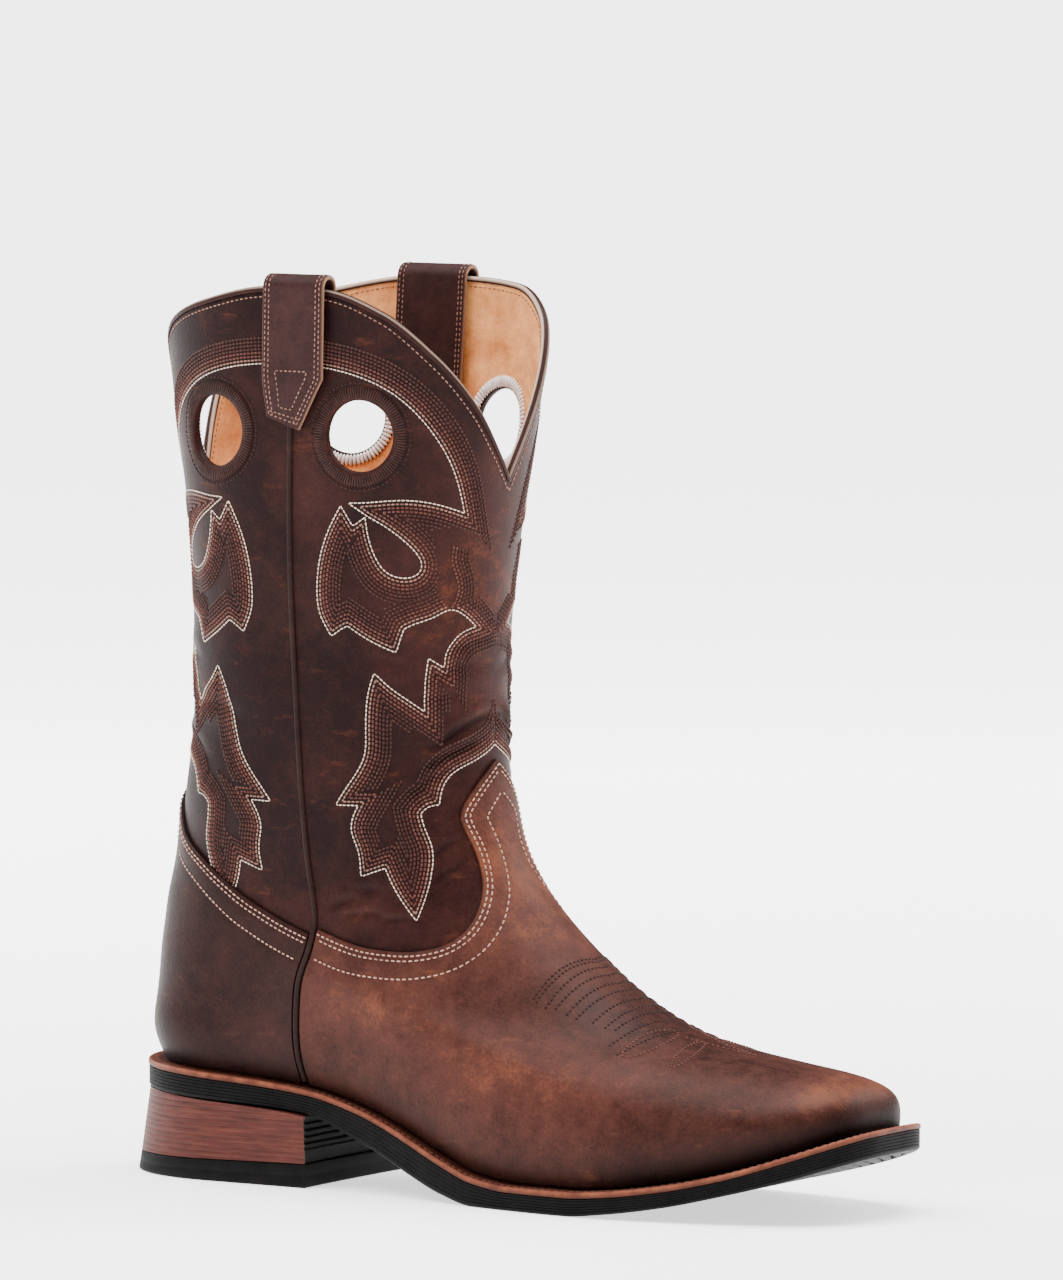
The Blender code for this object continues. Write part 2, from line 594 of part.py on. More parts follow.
sole_edge = reach - 0.3
slab("outsole", [
    bottom_loop(sole_edge - 0.8, under),
    bottom_loop(sole_edge, between(0.12)),
    bottom_loop(sole_edge, between(0.56)),
    bottom_loop(sole_edge - 0.7, between(0.62)),
    bottom_loop(sole_edge - 0.7, between(0.74)),
    bottom_loop(sole_edge, between(0.80)),
    bottom_loop(sole_edge, between(1.0)),
], sole_rubber)


def heel_loop(share, height, inset=0.0):
    """Heel outline at a share of the way down from the sole, with a height that depends on x."""
    back = HEEL_TOP_BACK + (HEEL_FOOT_BACK - HEEL_TOP_BACK) * share + inset
    breast = HEEL_TOP_BREAST + (HEEL_FOOT_BREAST - HEEL_TOP_BREAST) * share - inset
    wide = HEEL_TOP_HALF + (HEEL_FOOT_HALF - HEEL_TOP_HALF) * share - inset
    bend = np.radians(np.linspace(0.0, 90.0, 12))[1:]
    bend_x = back + HEEL_ROUND * (1.0 - np.cos(bend))
    bend_y = wide * np.sin(bend) ** 0.9
    side_x = np.concatenate([bend_x, np.linspace(bend_x[-1], breast, 4)[1:]])
    side_y = np.concatenate([bend_y, np.full(3, wide)])
    front_y = np.linspace(wide, 0.0, 5)[1:-1]
    front_x = breast - HEEL_BREAST_BOW * (1.0 - (front_y / wide) ** 2)
    side_x = np.concatenate([side_x, front_x])
    side_y = np.concatenate([side_y, front_y])
    x = np.concatenate([[back], side_x, [breast - HEEL_BREAST_BOW], side_x[::-1]])
    y = np.concatenate([[0.0], -side_y, [0.0], side_y[::-1]])
    return np.column_stack([x, y, height(x)])


def cap_top(x):
    """Height of the heel cap's top face."""
    return CAP_BACK + (CAP_FRONT - CAP_BACK) * np.asarray(x) / HEEL_FOOT_BREAST


cap_share = 1.0 - 0.5 * (CAP_BACK + CAP_FRONT) / HEEL_TOP_Z
slab("heel_stack", [
    heel_loop(cap_share - 0.01, lambda x: cap_top(x) + FIT_GAP),
    heel_loop(0.0, lambda x: under(x + HEEL_TOP_EASE) - FIT_GAP),
], heel_leather)
slab("heel_cap", [
    heel_loop(1.0, lambda x: x * 0.0, 0.8),
    heel_loop(0.97, lambda x: x * 0.0 + 0.8),
    heel_loop(cap_share, cap_top),
], cap_rubber)

# Root empty: middle of the footprint over the ground
sides = bottom_loop(reach, seat)[:, 1]
root.location = (-BOOT_LENGTH / 2 * MM, -(sides.max() + sides.min()) / 2 * MM, 0.0)
bpy.context.view_layer.update()
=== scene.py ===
import logging
from dataclasses import dataclass, field
from enum import Enum
from typing import Callable, Optional, Sequence, Union

import bmesh
import bpy
import numpy as np
from mathutils import Matrix, Vector


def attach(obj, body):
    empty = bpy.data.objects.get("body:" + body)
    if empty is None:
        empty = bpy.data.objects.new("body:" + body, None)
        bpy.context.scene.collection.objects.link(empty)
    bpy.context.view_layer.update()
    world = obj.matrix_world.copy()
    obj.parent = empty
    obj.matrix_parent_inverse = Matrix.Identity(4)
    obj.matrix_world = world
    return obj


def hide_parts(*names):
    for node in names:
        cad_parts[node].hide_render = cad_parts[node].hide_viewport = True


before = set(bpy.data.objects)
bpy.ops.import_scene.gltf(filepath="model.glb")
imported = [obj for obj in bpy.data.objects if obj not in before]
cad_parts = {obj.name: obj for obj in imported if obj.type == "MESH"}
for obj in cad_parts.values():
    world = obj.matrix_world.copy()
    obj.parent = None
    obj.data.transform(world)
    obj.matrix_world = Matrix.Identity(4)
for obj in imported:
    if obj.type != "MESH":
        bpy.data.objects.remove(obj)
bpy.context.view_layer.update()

Array = np.ndarray
Colour = tuple[float, float, float]
Material = bpy.types.Material
Socket = bpy.types.NodeSocket
log = logging.getLogger("boot")

# Lengths are millimetres: x from the back of the heel to the toe, y to the inner side of the
# foot, z up from the ground. The bench moves them to the frame and to metres.
MM = 0.001
BOOT_LENGTH = 310.0
FIT_GAP = 0.3
WALL = 2.2
HOLE_RADIUS = 13.2


class Side(Enum):
    """The two sides of the boot, with the sign of y."""

    OUTER = -1.0
    INNER = 1.0


def tint(red: float, green: float, blue: float) -> Colour:
    """Linear colour from display values of 0 to 255."""
    share = np.array([red, green, blue]) / 255.0
    linear = np.where(share <= 0.04045, share / 12.92, ((share + 0.055) / 1.055) ** 2.4)
    return tuple(float(v) for v in linear)


def ease(value: Array) -> Array:
    """Smooth step from 0 to 1: 3t^2 - 2t^3 with t clipped to 0..1."""
    t = np.clip(value, 0.0, 1.0)
    return t * t * (3.0 - 2.0 * t)


def bell(value: Array) -> Array:
    """Bell curve exp(-v^2)."""
    return np.exp(-np.square(value))


def unit(vectors: Array) -> Array:
    """Vectors scaled to length one along the last axis."""
    return vectors / np.maximum(np.linalg.norm(vectors, axis=-1, keepdims=True), 1e-9)


def lengths(line: Array) -> Array:
    """Length run along a line (points, axes) up to each of its points."""
    return np.concatenate([[0.0], np.cumsum(np.linalg.norm(np.diff(line, axis=0), axis=1))])


def full_turn(count: int) -> Array:
    """Angles of one full turn in equal steps."""
    return np.linspace(0.0, 2 * np.pi, count, endpoint=False)


def natural_spline(knots: Sequence[float], values: Array, at: Array) -> Array:
    """Natural cubic curve through values at knots, straight beyond both ends.

    Args:
        knots: Rising places of the values.
        values: One value or row of values at each knot.
        at: Places to read.

    Returns:
        Values at the places, with the shape of at followed by the row's shape.
    """
    knots = np.asarray(knots, float)
    values = np.asarray(values, float)
    at = np.asarray(at, float)
    count = len(knots)
    step = np.diff(knots)
    system = np.eye(count)
    bend = np.zeros_like(values)
    for i in range(1, count - 1):
        system[i, i - 1:i + 2] = (step[i - 1], 2.0 * (step[i - 1] + step[i]), step[i])
        rise = (values[i + 1] - values[i]) / step[i] - (values[i] - values[i - 1]) / step[i - 1]
        bend[i] = 6.0 * rise
    curve = np.linalg.solve(system, bend)
    k = np.clip(np.searchsorted(knots, at, side="right") - 1, 0, count - 2)
    inside = np.clip(at, knots[0], knots[-1])
    shape = at.shape + (1,) * (values.ndim - 1)
    h = step[k].reshape(shape)
    a = (knots[k + 1] - inside).reshape(shape) / h
    b = 1.0 - a
    smooth = (a * values[k] + b * values[k + 1]
              + ((a ** 3 - a) * curve[k] + (b ** 3 - b) * curve[k + 1]) * h * h / 6.0)
    slope = ((values[k + 1] - values[k]) / h - (3 * a * a - 1) * h * curve[k] / 6.0
             + (3 * b * b - 1) * h * curve[k + 1] / 6.0)
    return smooth + slope * (at - inside).reshape(shape)


def monotone(places: Array, values: Array, at: Array) -> Array:
    """Cubic curve through values at places that never overshoots them.

    Args:
        places: Rising places of the values.
        values: Values at the places.
        at: Places to read, held inside the table.

    Returns:
        Values at the places.
    """
    x = np.asarray(places, float)
    y = np.asarray(values, float)
    h = np.diff(x)
    d = np.diff(y) / h
    slope = np.concatenate([d[:1], np.zeros(len(x) - 2), d[-1:]])
    same = d[:-1] * d[1:] > 0
    w1 = 2 * h[1:] + h[:-1]
    w2 = h[1:] + 2 * h[:-1]
    mean = (w1 + w2) / (w1 / np.where(same, d[:-1], 1.0) + w2 / np.where(same, d[1:], 1.0))
    slope[1:-1] = np.where(same, mean, 0.0)
    at = np.clip(np.asarray(at, float), x[0], x[-1])
    k = np.clip(np.searchsorted(x, at, side="right") - 1, 0, len(x) - 2)
    t = (at - x[k]) / h[k]
    return (y[k] * (1 + 2 * t) * (1 - t) ** 2 + y[k + 1] * t * t * (3 - 2 * t)
            + h[k] * (slope[k] * t * (1 - t) ** 2 + slope[k + 1] * t * t * (t - 1)))


# Sections of the upper from the feather line to above the collar: x and z of the front, x and z
# of the back, half-widths at four stations, nose length, nose bluntness, tail length, seam x
SECTIONS = (
    (300.6, 30.0, 13.6, 41.0, 29.3, 27.2, 42.2, 28.6, 24.0, 4.0, 44.0, 84.9),
    (300.2, 38.6, 9.8, 52.0, 34.0, 33.0, 46.3, 31.8, 30.0, 3.8, 46.0, 84.9),
    (296.6, 44.2, 10.0, 62.0, 35.0, 35.8, 46.5, 31.5, 46.0, 3.0, 48.0, 85.2),
    (287.0, 48.0, 10.8, 72.0, 35.0, 37.5, 44.5, 30.0, 80.0, 2.3, 50.0, 86.2),
    (265.0, 51.2, 11.2, 82.0, 34.8, 38.5, 42.0, 30.0, 124.0, 2.0, 52.0, 87.6),
    (237.0, 56.0, 12.2, 91.0, 34.5, 39.0, 40.0, 30.0, 162.0, 2.0, 53.0, 90.0),
    (209.4, 67.3, 13.6, 101.0, 34.2, 39.2, 39.0, 30.0, 150.0, 2.0, 54.0, 93.0),
    (186.0, 83.6, 16.2, 112.0, 34.2, 39.2, 38.5, 34.0, 126.0, 2.0, 55.0, 94.0),
    (166.6, 101.0, 18.2, 124.0, 35.0, 39.2, 38.5, 36.0, 100.0, 2.0, 56.0, 92.0),
    (152.9, 121.0, 20.2, 138.0, 37.0, 39.4, 39.0, 38.0, 76.0, 2.0, 58.0, 90.4),
    (146.6, 148.0, 23.8, 157.0, 39.2, 39.6, 39.6, 39.6, 62.0, 2.0, 60.0, 89.0),
    (145.4, 180.0, 24.8, 184.0, 40.2, 40.2, 40.2, 40.2, 56.0, 2.0, 60.0, 87.7),
    (147.4, 215.0, 24.8, 217.0, 41.6, 41.6, 41.6, 41.6, 54.0, 2.0, 60.0, 86.8),
    (151.8, 252.0, 21.6, 253.0, 43.4, 43.4, 43.4, 43.4, 55.0, 2.2, 60.0, 87.6),
    (157.6, 292.0, 16.4, 292.0, 45.2, 45.2, 45.2, 45.2, 58.0, 2.4, 64.0, 89.4),
    (163.4, 335.0, 13.2, 335.0, 46.4, 46.4, 46.4, 46.4, 60.0, 2.5, 66.0, 91.0),
)
STATION_X = (45.0, 120.0, 212.0, 290.0)

# Side profile of the bottom: x, top of the welt, underside of the outsole
PROFILE = np.array((
    (0.0, 41.6, 31.6), (45.0, 39.2, 29.4), (88.0, 35.3, 26.2), (106.0, 31.4, 20.2),
    (120.0, 27.0, 14.8), (135.0, 21.2, 8.4), (150.0, 15.2, 3.0), (165.0, 10.4, 0.0),
    (182.0, 8.6, 0.0), (206.0, 8.6, 0.0), (221.0, 9.6, 1.4), (244.0, 12.8, 5.0),
    (264.0, 17.2, 9.6), (284.0, 23.4, 15.0), (300.0, 29.2, 20.2), (312.0, 33.8, 24.4),
))

# Collar: place around, height on the outer side, height on the inner side
COLLAR = np.array((
    (0.00, 254.0, 254.0), (0.11, 266.0, 270.0), (0.23, 280.0, 287.0), (0.42, 298.5, 309.5),
    (0.62, 313.0, 319.6), (0.84, 320.6, 321.6), (1.00, 322.0, 322.0), (1.14, 321.2, 321.2),
    (1.38, 316.3, 317.0), (1.60, 309.0, 310.5), (1.78, 296.5, 300.0), (1.90, 272.0, 277.0),
    (2.00, 254.0, 254.0),
))


def seat(x: Array) -> Array:
    """Height of the welt's top along the foot."""
    return monotone(PROFILE[:, 0], PROFILE[:, 1], x)


def under(x: Array) -> Array:
    """Height of the outsole's underside along the foot."""
    return monotone(PROFILE[:, 0], PROFILE[:, 2], x)


def collar_height(around: Array) -> Array:
    """Height of the collar's edge at a place around the boot."""
    outer = monotone(COLLAR[:, 0], COLLAR[:, 1], np.abs(around))
    inner = monotone(COLLAR[:, 0], COLLAR[:, 2], np.abs(around))
    return np.where(around < 0, outer, inner)


@dataclass
class Last:
    """The form that the leather is drawn over, read from a fine table.

    A place is a level, from 0 at the feather line to 15 above the collar, and a place around:
    0 front centre, 1 side seam, 2 back centre, minus on the outer side. A panel place is u, the
    length from the side seam towards the front, and the height z.
    """

    level_count: int = 601
    around_count: int = 801
    dense: int = 400
    waist_shift: float = -3.2
    waist_x: float = 145.0
    waist_spread: float = 55.0
    toe_swing: float = 3.5
    toe_swing_from: float = 180.0
    toe_swing_over: float = 125.0
    inner_seam_shift: float = 4.5
    ankle_level: float = 8.0
    end_power: float = 2.6
    search_from: float = 3.0
    halvings: int = 20
    panel_turns: int = 3
    newton_steps: int = 30
    level_nudge: float = 0.03
    around_nudge: float = 0.006

    def __post_init__(self) -> None:
        """Fills the tables of points and normals."""
        rows = np.array(SECTIONS)
        rows[0, 1] = seat(rows[0, 0])
        rows[0, 3] = seat(rows[0, 2])
        self.top = len(rows) - 1.0
        self.levels = np.linspace(0.0, self.top, self.level_count)
        self.arounds = np.linspace(-2.0, 2.0, self.around_count)
        self.points = np.zeros((self.level_count, self.around_count, 3))
        for side in Side:
            self._fill(rows, side)
        d_around = np.roll(self.points, -1, 1) - np.roll(self.points, 1, 1)
        d_around[:, 0] = self.points[:, 1] - self.points[:, -2]
        d_around[:, -1] = d_around[:, 0]
        self.normals = unit(np.cross(d_around, np.gradient(self.points, axis=0)))

    def _fill(self, section_rows: Array, side: Side) -> None:
        """Fills one side of the table.

        A section runs from its front to its back point: y is the half-width times a rounded nose
        and tail, moved over at the waist and toe, and z dips with the seat on the foot levels.
        The line is then cut by length into front and back of the seam.

        Args:
            section_rows: The table of sections.
            side: Side to fill.
        """
        level = self.levels
        rows = natural_spline(np.arange(len(section_rows)), section_rows, level)
        front_x, front_z, back_x, back_z = (rows[:, [i]] for i in range(4))
        nose_long, blunt, tail_long, seam = (rows[:, [i]] for i in range(8, 12))
        share = (1.0 - np.cos(np.linspace(0.0, np.pi, self.dense + 1)))[None, :] / 2.0
        span = front_x - back_x
        x = front_x - span * share
        basis = natural_spline(STATION_X, np.eye(4), x.ravel()).reshape(x.shape + (4,))
        width = np.einsum("nki,ni->nk", basis, rows[:, 4:8])
        ahead = np.clip((front_x - x) / nose_long, 0.0, 1.0)
        behind = np.clip((x - back_x) / tail_long, 0.0, 1.0)
        nose = (1.0 - (1.0 - ahead) ** self.end_power) ** (1.0 / blunt)
        ends = nose * np.sqrt(1.0 - (1.0 - behind) ** self.end_power)
        foot = 1.0 - ease(level / self.ankle_level)[:, None]
        y = side.value * width * ends
        y = y + self.waist_shift * foot * bell((x - self.waist_x) / self.waist_spread) * ends
        y = y + foot * self.swing(x)
        chord = seat(front_x) * (1.0 - share) + seat(back_x) * share
        z = front_z * (1.0 - share) + back_z * share + foot * (seat(x) - chord)
        line = np.stack([x, y, z], axis=2)
        run = np.linalg.norm(np.diff(line, axis=1), axis=2)
        run = np.concatenate([np.zeros((len(level), 1)), np.cumsum(run, axis=1)], axis=1)
        seam_x = seam + (self.inner_seam_shift if side is Side.INNER else 0.0)
        place = np.arccos(1.0 - 2.0 * np.clip((front_x - seam_x) / span, 0.0, 1.0)[:, 0])
        place = place / np.pi * self.dense
        k = np.clip(place.astype(int), 0, self.dense - 1)
        pick = np.arange(len(level))
        seam_run = run[pick, k] + (place - k) * (run[pick, k + 1] - run[pick, k])
        mine = np.flatnonzero(self.arounds * side.value >= 0)
        part = np.abs(self.arounds[mine])
        for i in range(len(level)):
            target = np.where(part < 1.0, part * seam_run[i],
                              seam_run[i] + (part - 1.0) * (run[i, -1] - seam_run[i]))
            for axis in range(3):
                self.points[i, mine, axis] = np.interp(target, run[i], line[i, :, axis])
        if side is Side.OUTER:
            self.front_run = seam_run
            self.back_run = run[:, -1] - seam_run

    def swing(self, x: Array) -> Array:
        """How far the toe is moved over at x: toe_swing * t^2 with t clipped to 0..1."""
        return self.toe_swing * np.clip((x - self.toe_swing_from) / self.toe_swing_over, 0.0, 1.0) ** 2

    def read(self, table: Array, level: Array, around: Array) -> Array:
        """Bilinear reading of a table at levels and places around."""
        level, around = np.broadcast_arrays(np.asarray(level, float), np.asarray(around, float))
        f = np.clip(level, 0.0, self.top) / self.top * (self.level_count - 1)
        g = ((around + 2.0) % 4.0) / 4.0 * (self.around_count - 1)
        i = np.minimum(f.astype(int), self.level_count - 2)
        j = np.minimum(g.astype(int), self.around_count - 2)
        s = (f - i)[..., None]
        t = (g - j)[..., None]
        return ((table[i, j] * (1 - t) + table[i, j + 1] * t) * (1 - s)
                + (table[i + 1, j] * (1 - t) + table[i + 1, j + 1] * t) * s)

    def point(self, level: Array, around: Array) -> Array:
        """Points of the upper's outer face."""
        return self.read(self.points, level, around) + np.array([0.0, 0.0, FIT_GAP])

    def normal(self, level: Array, around: Array) -> Array:
        """Outward unit normals of the upper's outer face."""
        return unit(self.read(self.normals, level, around))

    def lift(self, level: Array, around: Array, height: Array) -> Array:
        """Points at a height outside the upper's outer face."""
        level, around, height = np.broadcast_arrays(level, around, height)
        return self.point(level, around) + self.normal(level, around) * height[..., None]

    def level_of(self, around: Array, z: Array) -> Array:
        """Level at a height above the foot, halving the range until it is found."""
        around, z = np.broadcast_arrays(np.asarray(around, float), np.asarray(z, float))
        low = np.full(around.shape, self.search_from)
        high = np.full(around.shape, self.top)
        for _ in range(self.halvings):
            middle = (low + high) / 2
            below = self.point(middle, around)[..., 2] < z
            low = np.where(below, middle, low)
            high = np.where(below, high, middle)
        return (low + high) / 2

    def _runs(self, level: Array) -> tuple[Array, Array]:
        """Lengths from the side seam to the front and to the back at levels."""
        return np.interp(level, self.levels, self.front_run), np.interp(level, self.levels, self.back_run)

    def around_of(self, side: Side, level: Array, u: Array) -> Array:
        """Place around at a length u ahead of the side seam; minus u lies behind it."""
        front, back = self._runs(level)
        return side.value * (1.0 - np.where(u > 0, u / front, u / back))

    def panel(self, side: Side, u: Array, z: Array) -> tuple[Array, Array]:
        """Level and place around of a panel place, by turns of level_of and around_of."""
        u, z = np.broadcast_arrays(np.asarray(u, float), np.asarray(z, float))
        level = self.level_of(np.full(u.shape, side.value), z)
        for _ in range(self.panel_turns):
            level = self.level_of(self.around_of(side, level, u), z)
        return level, self.around_of(side, level, u)

    def on_panel(self, side: Side, u: Array, z: Array, height: Array) -> tuple[Array, Array]:
        """Points at a height over panel places, and the unit normals there."""
        level, around = self.panel(side, u, z)
        return self.lift(level, around, height), self.normal(level, around)

    def u_of(self, level: Array, around: Array) -> Array:
        """Length ahead of the side seam of a place on either side."""
        share = 1.0 - np.abs(around)
        front, back = self._runs(level)
        return np.where(share > 0, share * front, share * back)

    def from_above(self, x: Array, y: Array) -> tuple[Array, Array]:
        """Level and place around on top of the foot at x and y, by Newton steps on the table."""
        front_x = self.points[:, self.around_count // 2, 0]
        level = np.interp(-x, -front_x[:400], self.levels[:400])
        around = y / 250.0
        for _ in range(self.newton_steps):
            here = self.point(level, around)[..., :2]
            by_level = (self.point(level + self.level_nudge, around)[..., :2] - here) / self.level_nudge
            by_around = (self.point(level, around + self.around_nudge)[..., :2] - here) / self.around_nudge
            miss = np.stack([x, y], axis=-1) - here
            size = by_level[..., 0] * by_around[..., 1] - by_level[..., 1] * by_around[..., 0]
            step_l = (miss[..., 0] * by_around[..., 1] - miss[..., 1] * by_around[..., 0]) / size
            step_a = (by_level[..., 0] * miss[..., 1] - by_level[..., 1] * miss[..., 0]) / size
            level = np.clip(level + np.clip(step_l, -0.4, 0.4), 0.3, 11.0)
            around = around + np.clip(step_a, -0.04, 0.04)
        return level, around


@dataclass
class Skin:
    """Points in millimetres, faces as arrays of equal polygons, and values held at the points."""

    points: Array
    faces: list[Array]
    values: dict[str, Array] = field(default_factory=dict)
    slots: Optional[list[Array]] = None

    def hold(self, **values: Union[Array, float]) -> "Skin":
        """Sets values at the points, one number for all of them or one each, and gives the skin."""
        self.values = {name: np.broadcast_to(value, len(self.points)) for name, value in values.items()}
        return self

    @staticmethod
    def join(skins: Sequence["Skin"]) -> "Skin":
        """One skin from several, with their values kept where all have them."""
        start = np.cumsum([0] + [len(s.points) for s in skins])
        faces = [f + a for s, a in zip(skins, start) for f in s.faces]
        names = set.intersection(*(set(s.values) for s in skins))
        values = {n: np.concatenate([s.values[n] for s in skins]) for n in sorted(names)}
        slots = None
        if all(s.slots is not None for s in skins):
            slots = [g for s in skins for g in s.slots]
        return Skin(np.concatenate([s.points for s in skins]), faces, values, slots)


def grid_faces(rows: int, columns: int, ring: bool) -> Array:
    """Quads of a grid of points, closed from the last column to the first when ring is set."""
    r, c = np.meshgrid(np.arange(rows - 1), np.arange(columns if ring else columns - 1),
                       indexing="ij")
    d = (c + 1) % columns
    quads = np.stack([r * columns + c, r * columns + d, (r + 1) * columns + d,
                      (r + 1) * columns + c], axis=-1)
    return quads.reshape(-1, 4)


def fan(ring: Array, pole: int, outward: bool) -> Array:
    """Triangles from a ring of point numbers to one pole."""
    onward = np.roll(ring, -1)
    middle = np.full(len(ring), pole)
    return np.column_stack([ring, onward, middle] if outward else [onward, ring, middle])


def swept(sections: Array, capped: bool = False) -> Skin:
    """Skin of a closed profile carried along a path.

    Args:
        sections: Points (places, profile points, 3), the profile turning left-handed along it.
        capped: Closes both ends to their middle points; otherwise the path closes on itself.

    Returns:
        The skin.
    """
    places, count = sections.shape[:2]
    points = sections.reshape(-1, 3)
    if not capped:
        faces = grid_faces(places + 1, count, True) % (places * count)
        return Skin(points, [faces])
    poles = np.stack([sections[0].mean(axis=0), sections[-1].mean(axis=0)])
    first = fan(np.arange(count), places * count, False)
    last = fan(np.arange(count) + (places - 1) * count, places * count + 1, True)
    return Skin(np.concatenate([points, poles]), [grid_faces(places, count, True), first, last])


def cut_shell(outer: Array, inner: Array, keep: Array, ring: bool,
              values: dict[str, Array]) -> Skin:
    """Sheet with two faces and a wall along every cut.

    Each kept cell gives a quad on the outer and one on the inner face, and each side of a kept
    cell without a kept neighbour gives a wall quad between the two.

    Args:
        outer: Outer points (rows, columns, 3).
        inner: Inner points, the same shape.
        keep: Kept cells (rows - 1, columns, or columns - 1 for an open grid).
        ring: Whether the columns close around the boot.
        values: Values (2, rows, columns) for outer and inner points.

    Returns:
        The skin; slot 0 outer, 1 inner, 2 walls.
    """
    rows, columns = outer.shape[:2]
    number = np.arange(rows * columns).reshape(rows, columns)
    ahead = np.roll(number, -1, axis=1) if ring else number[:, 1:]
    here = number if ring else number[:, :-1]
    corner = [here[:-1], ahead[:-1], ahead[1:], here[1:]]
    quads = np.stack([c[keep] for c in corner], axis=-1)
    inner_start = rows * columns
    padded = np.pad(keep, 1)
    if ring:
        padded[1:-1, 0] = keep[:, -1]
        padded[1:-1, -1] = keep[:, 0]
    beside = (padded[:-2, 1:-1], padded[1:-1, 2:], padded[2:, 1:-1], padded[1:-1, :-2])
    walls = []
    for edge, neighbour in enumerate(beside):
        bare = keep & ~neighbour
        a = corner[edge][bare]
        b = corner[(edge + 1) % 4][bare]
        walls.append(np.stack([b, a, a + inner_start, b + inner_start], axis=-1))
    walls = np.concatenate(walls)
    points = np.concatenate([outer.reshape(-1, 3), inner.reshape(-1, 3)])
    used = np.zeros(len(points), bool)
    used[quads] = True
    used[quads + inner_start] = True
    renumber = np.cumsum(used) - 1
    faces = [renumber[quads], renumber[quads[:, ::-1] + inner_start], renumber[walls]]
    slots = [np.full(len(f), i) for i, f in enumerate(faces)]
    held = {n: v.reshape(-1)[used] for n, v in values.items()}
    return Skin(points[used], faces, held, slots)


def rim_points(keep: Array, ring: bool) -> Array:
    """Grid points that touch both kept and dropped cells."""
    wide = keep if ring else np.pad(keep, ((0, 0), (0, 1)), mode="edge")
    left = np.roll(wide, 1, axis=1) if ring else np.pad(keep, ((0, 0), (1, 0)), mode="edge")
    up = lambda cells: np.pad(cells, ((0, 1), (0, 0)), mode="edge")
    down = lambda cells: np.pad(cells, ((1, 0), (0, 0)), mode="edge")
    four = np.stack([up(wide), up(left), down(wide), down(left)])
    return four.any(axis=0) & ~four.all(axis=0)


def gap_to(spots: Array, places: Array) -> Array:
    """Distance of places (n, 2) from the nearest of some spots, one spot at a time."""
    gap = np.full(len(places), np.inf)
    for spot in spots:
        gap = np.minimum(gap, np.hypot(*(places - spot).T))
    return gap


def nearest_on(line: Array, places: Array) -> Array:
    """Nearest points on a polyline to places in the plane."""
    a = line[:-1][None]
    b = line[1:][None]
    p = places[:, None]
    along = np.clip(((p - a) * (b - a)).sum(-1) / np.maximum(((b - a) ** 2).sum(-1), 1e-9), 0, 1)
    foot = a + (b - a) * along[..., None]
    best = ((p - foot) ** 2).sum(-1).argmin(axis=1)
    return foot[np.arange(len(places)), best]


def inside(polygon: Array, u: Array, z: Array) -> Array:
    """Whether places lie in a polygon, by counting the sides crossed."""
    odd = np.zeros(u.shape, bool)
    for (u0, z0), (u1, z1) in zip(polygon, np.roll(polygon, -1, axis=0)):
        crosses = (z0 > z) != (z1 > z)
        rise = z1 - z0 if z1 != z0 else 1e-9
        odd ^= crosses & (u < (u1 - u0) * (z - z0) / rise + u0)
    return odd


@dataclass
class Bench:
    """Turns skins into pieces of the frame and counts them."""

    last: Last
    triangles: int = 0

    def __post_init__(self) -> None:
        """Takes the frame's middle from the welt's outline."""
        self.shift = np.array([-BOOT_LENGTH / 2, -Bottom(self.last).middle_y(), 0.0])

    def add(self, name: str, skin: Skin, materials: Sequence[Material], nodes: Sequence[str] = (),
            slot: Optional[str] = None, sharp: Optional[float] = None, merge: float = 0.0) -> None:
        """Makes one piece, rides it on the frame's body and says what it stands for.

        Args:
            name: Name of the piece.
            skin: Its points, faces and values.
            materials: Materials in the order of the skin's slots.
            nodes: CAD nodes that it stands for.
            slot: The record's material slot; not used.
            sharp: Angle in degrees above which an edge stays sharp.
            merge: Distance in millimetres under which points are joined.
        """
        mesh = bpy.data.meshes.new(name)
        mesh.vertices.add(len(skin.points))
        mesh.vertices.foreach_set("co", ((skin.points + self.shift) * MM).ravel())
        loops = np.concatenate([f.ravel() for f in skin.faces])
        sizes = np.concatenate([np.full(len(f), f.shape[1]) for f in skin.faces])
        mesh.loops.add(len(loops))
        mesh.loops.foreach_set("vertex_index", loops.astype(np.int32))
        mesh.polygons.add(len(sizes))
        mesh.polygons.foreach_set("loop_start", (np.cumsum(sizes) - sizes).astype(np.int32))
        if skin.slots is not None:
            index = np.minimum(np.concatenate(skin.slots), len(materials) - 1)
            mesh.polygons.foreach_set("material_index", index.astype(np.int32))
        for key, value in skin.values.items():
            layer = mesh.attributes.new(key, "FLOAT", "POINT")
            layer.data.foreach_set("value", value.astype(np.float32))
        mesh.update(calc_edges=True)
        mesh.validate()
        if merge > 0.0:
            shape = bmesh.new()
            shape.from_mesh(mesh)
            bmesh.ops.remove_doubles(shape, verts=shape.verts, dist=merge * MM)
            shape.to_mesh(mesh)
            shape.free()
        mesh.shade_smooth()
        if sharp is not None:
            mesh.set_sharp_from_angle(angle=np.radians(sharp))
        for material in materials:
            mesh.materials.append(material)
        piece = bpy.data.objects.new(name, mesh)
        bpy.context.scene.collection.objects.link(piece)
        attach(piece, "root")
        if nodes:
            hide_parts(*nodes)
        count = len(mesh.loops) - 2 * len(mesh.polygons)
        self.triangles += count
        log.info("%s: %d triangles, for %s", name, count, ", ".join(nodes) or "no node")


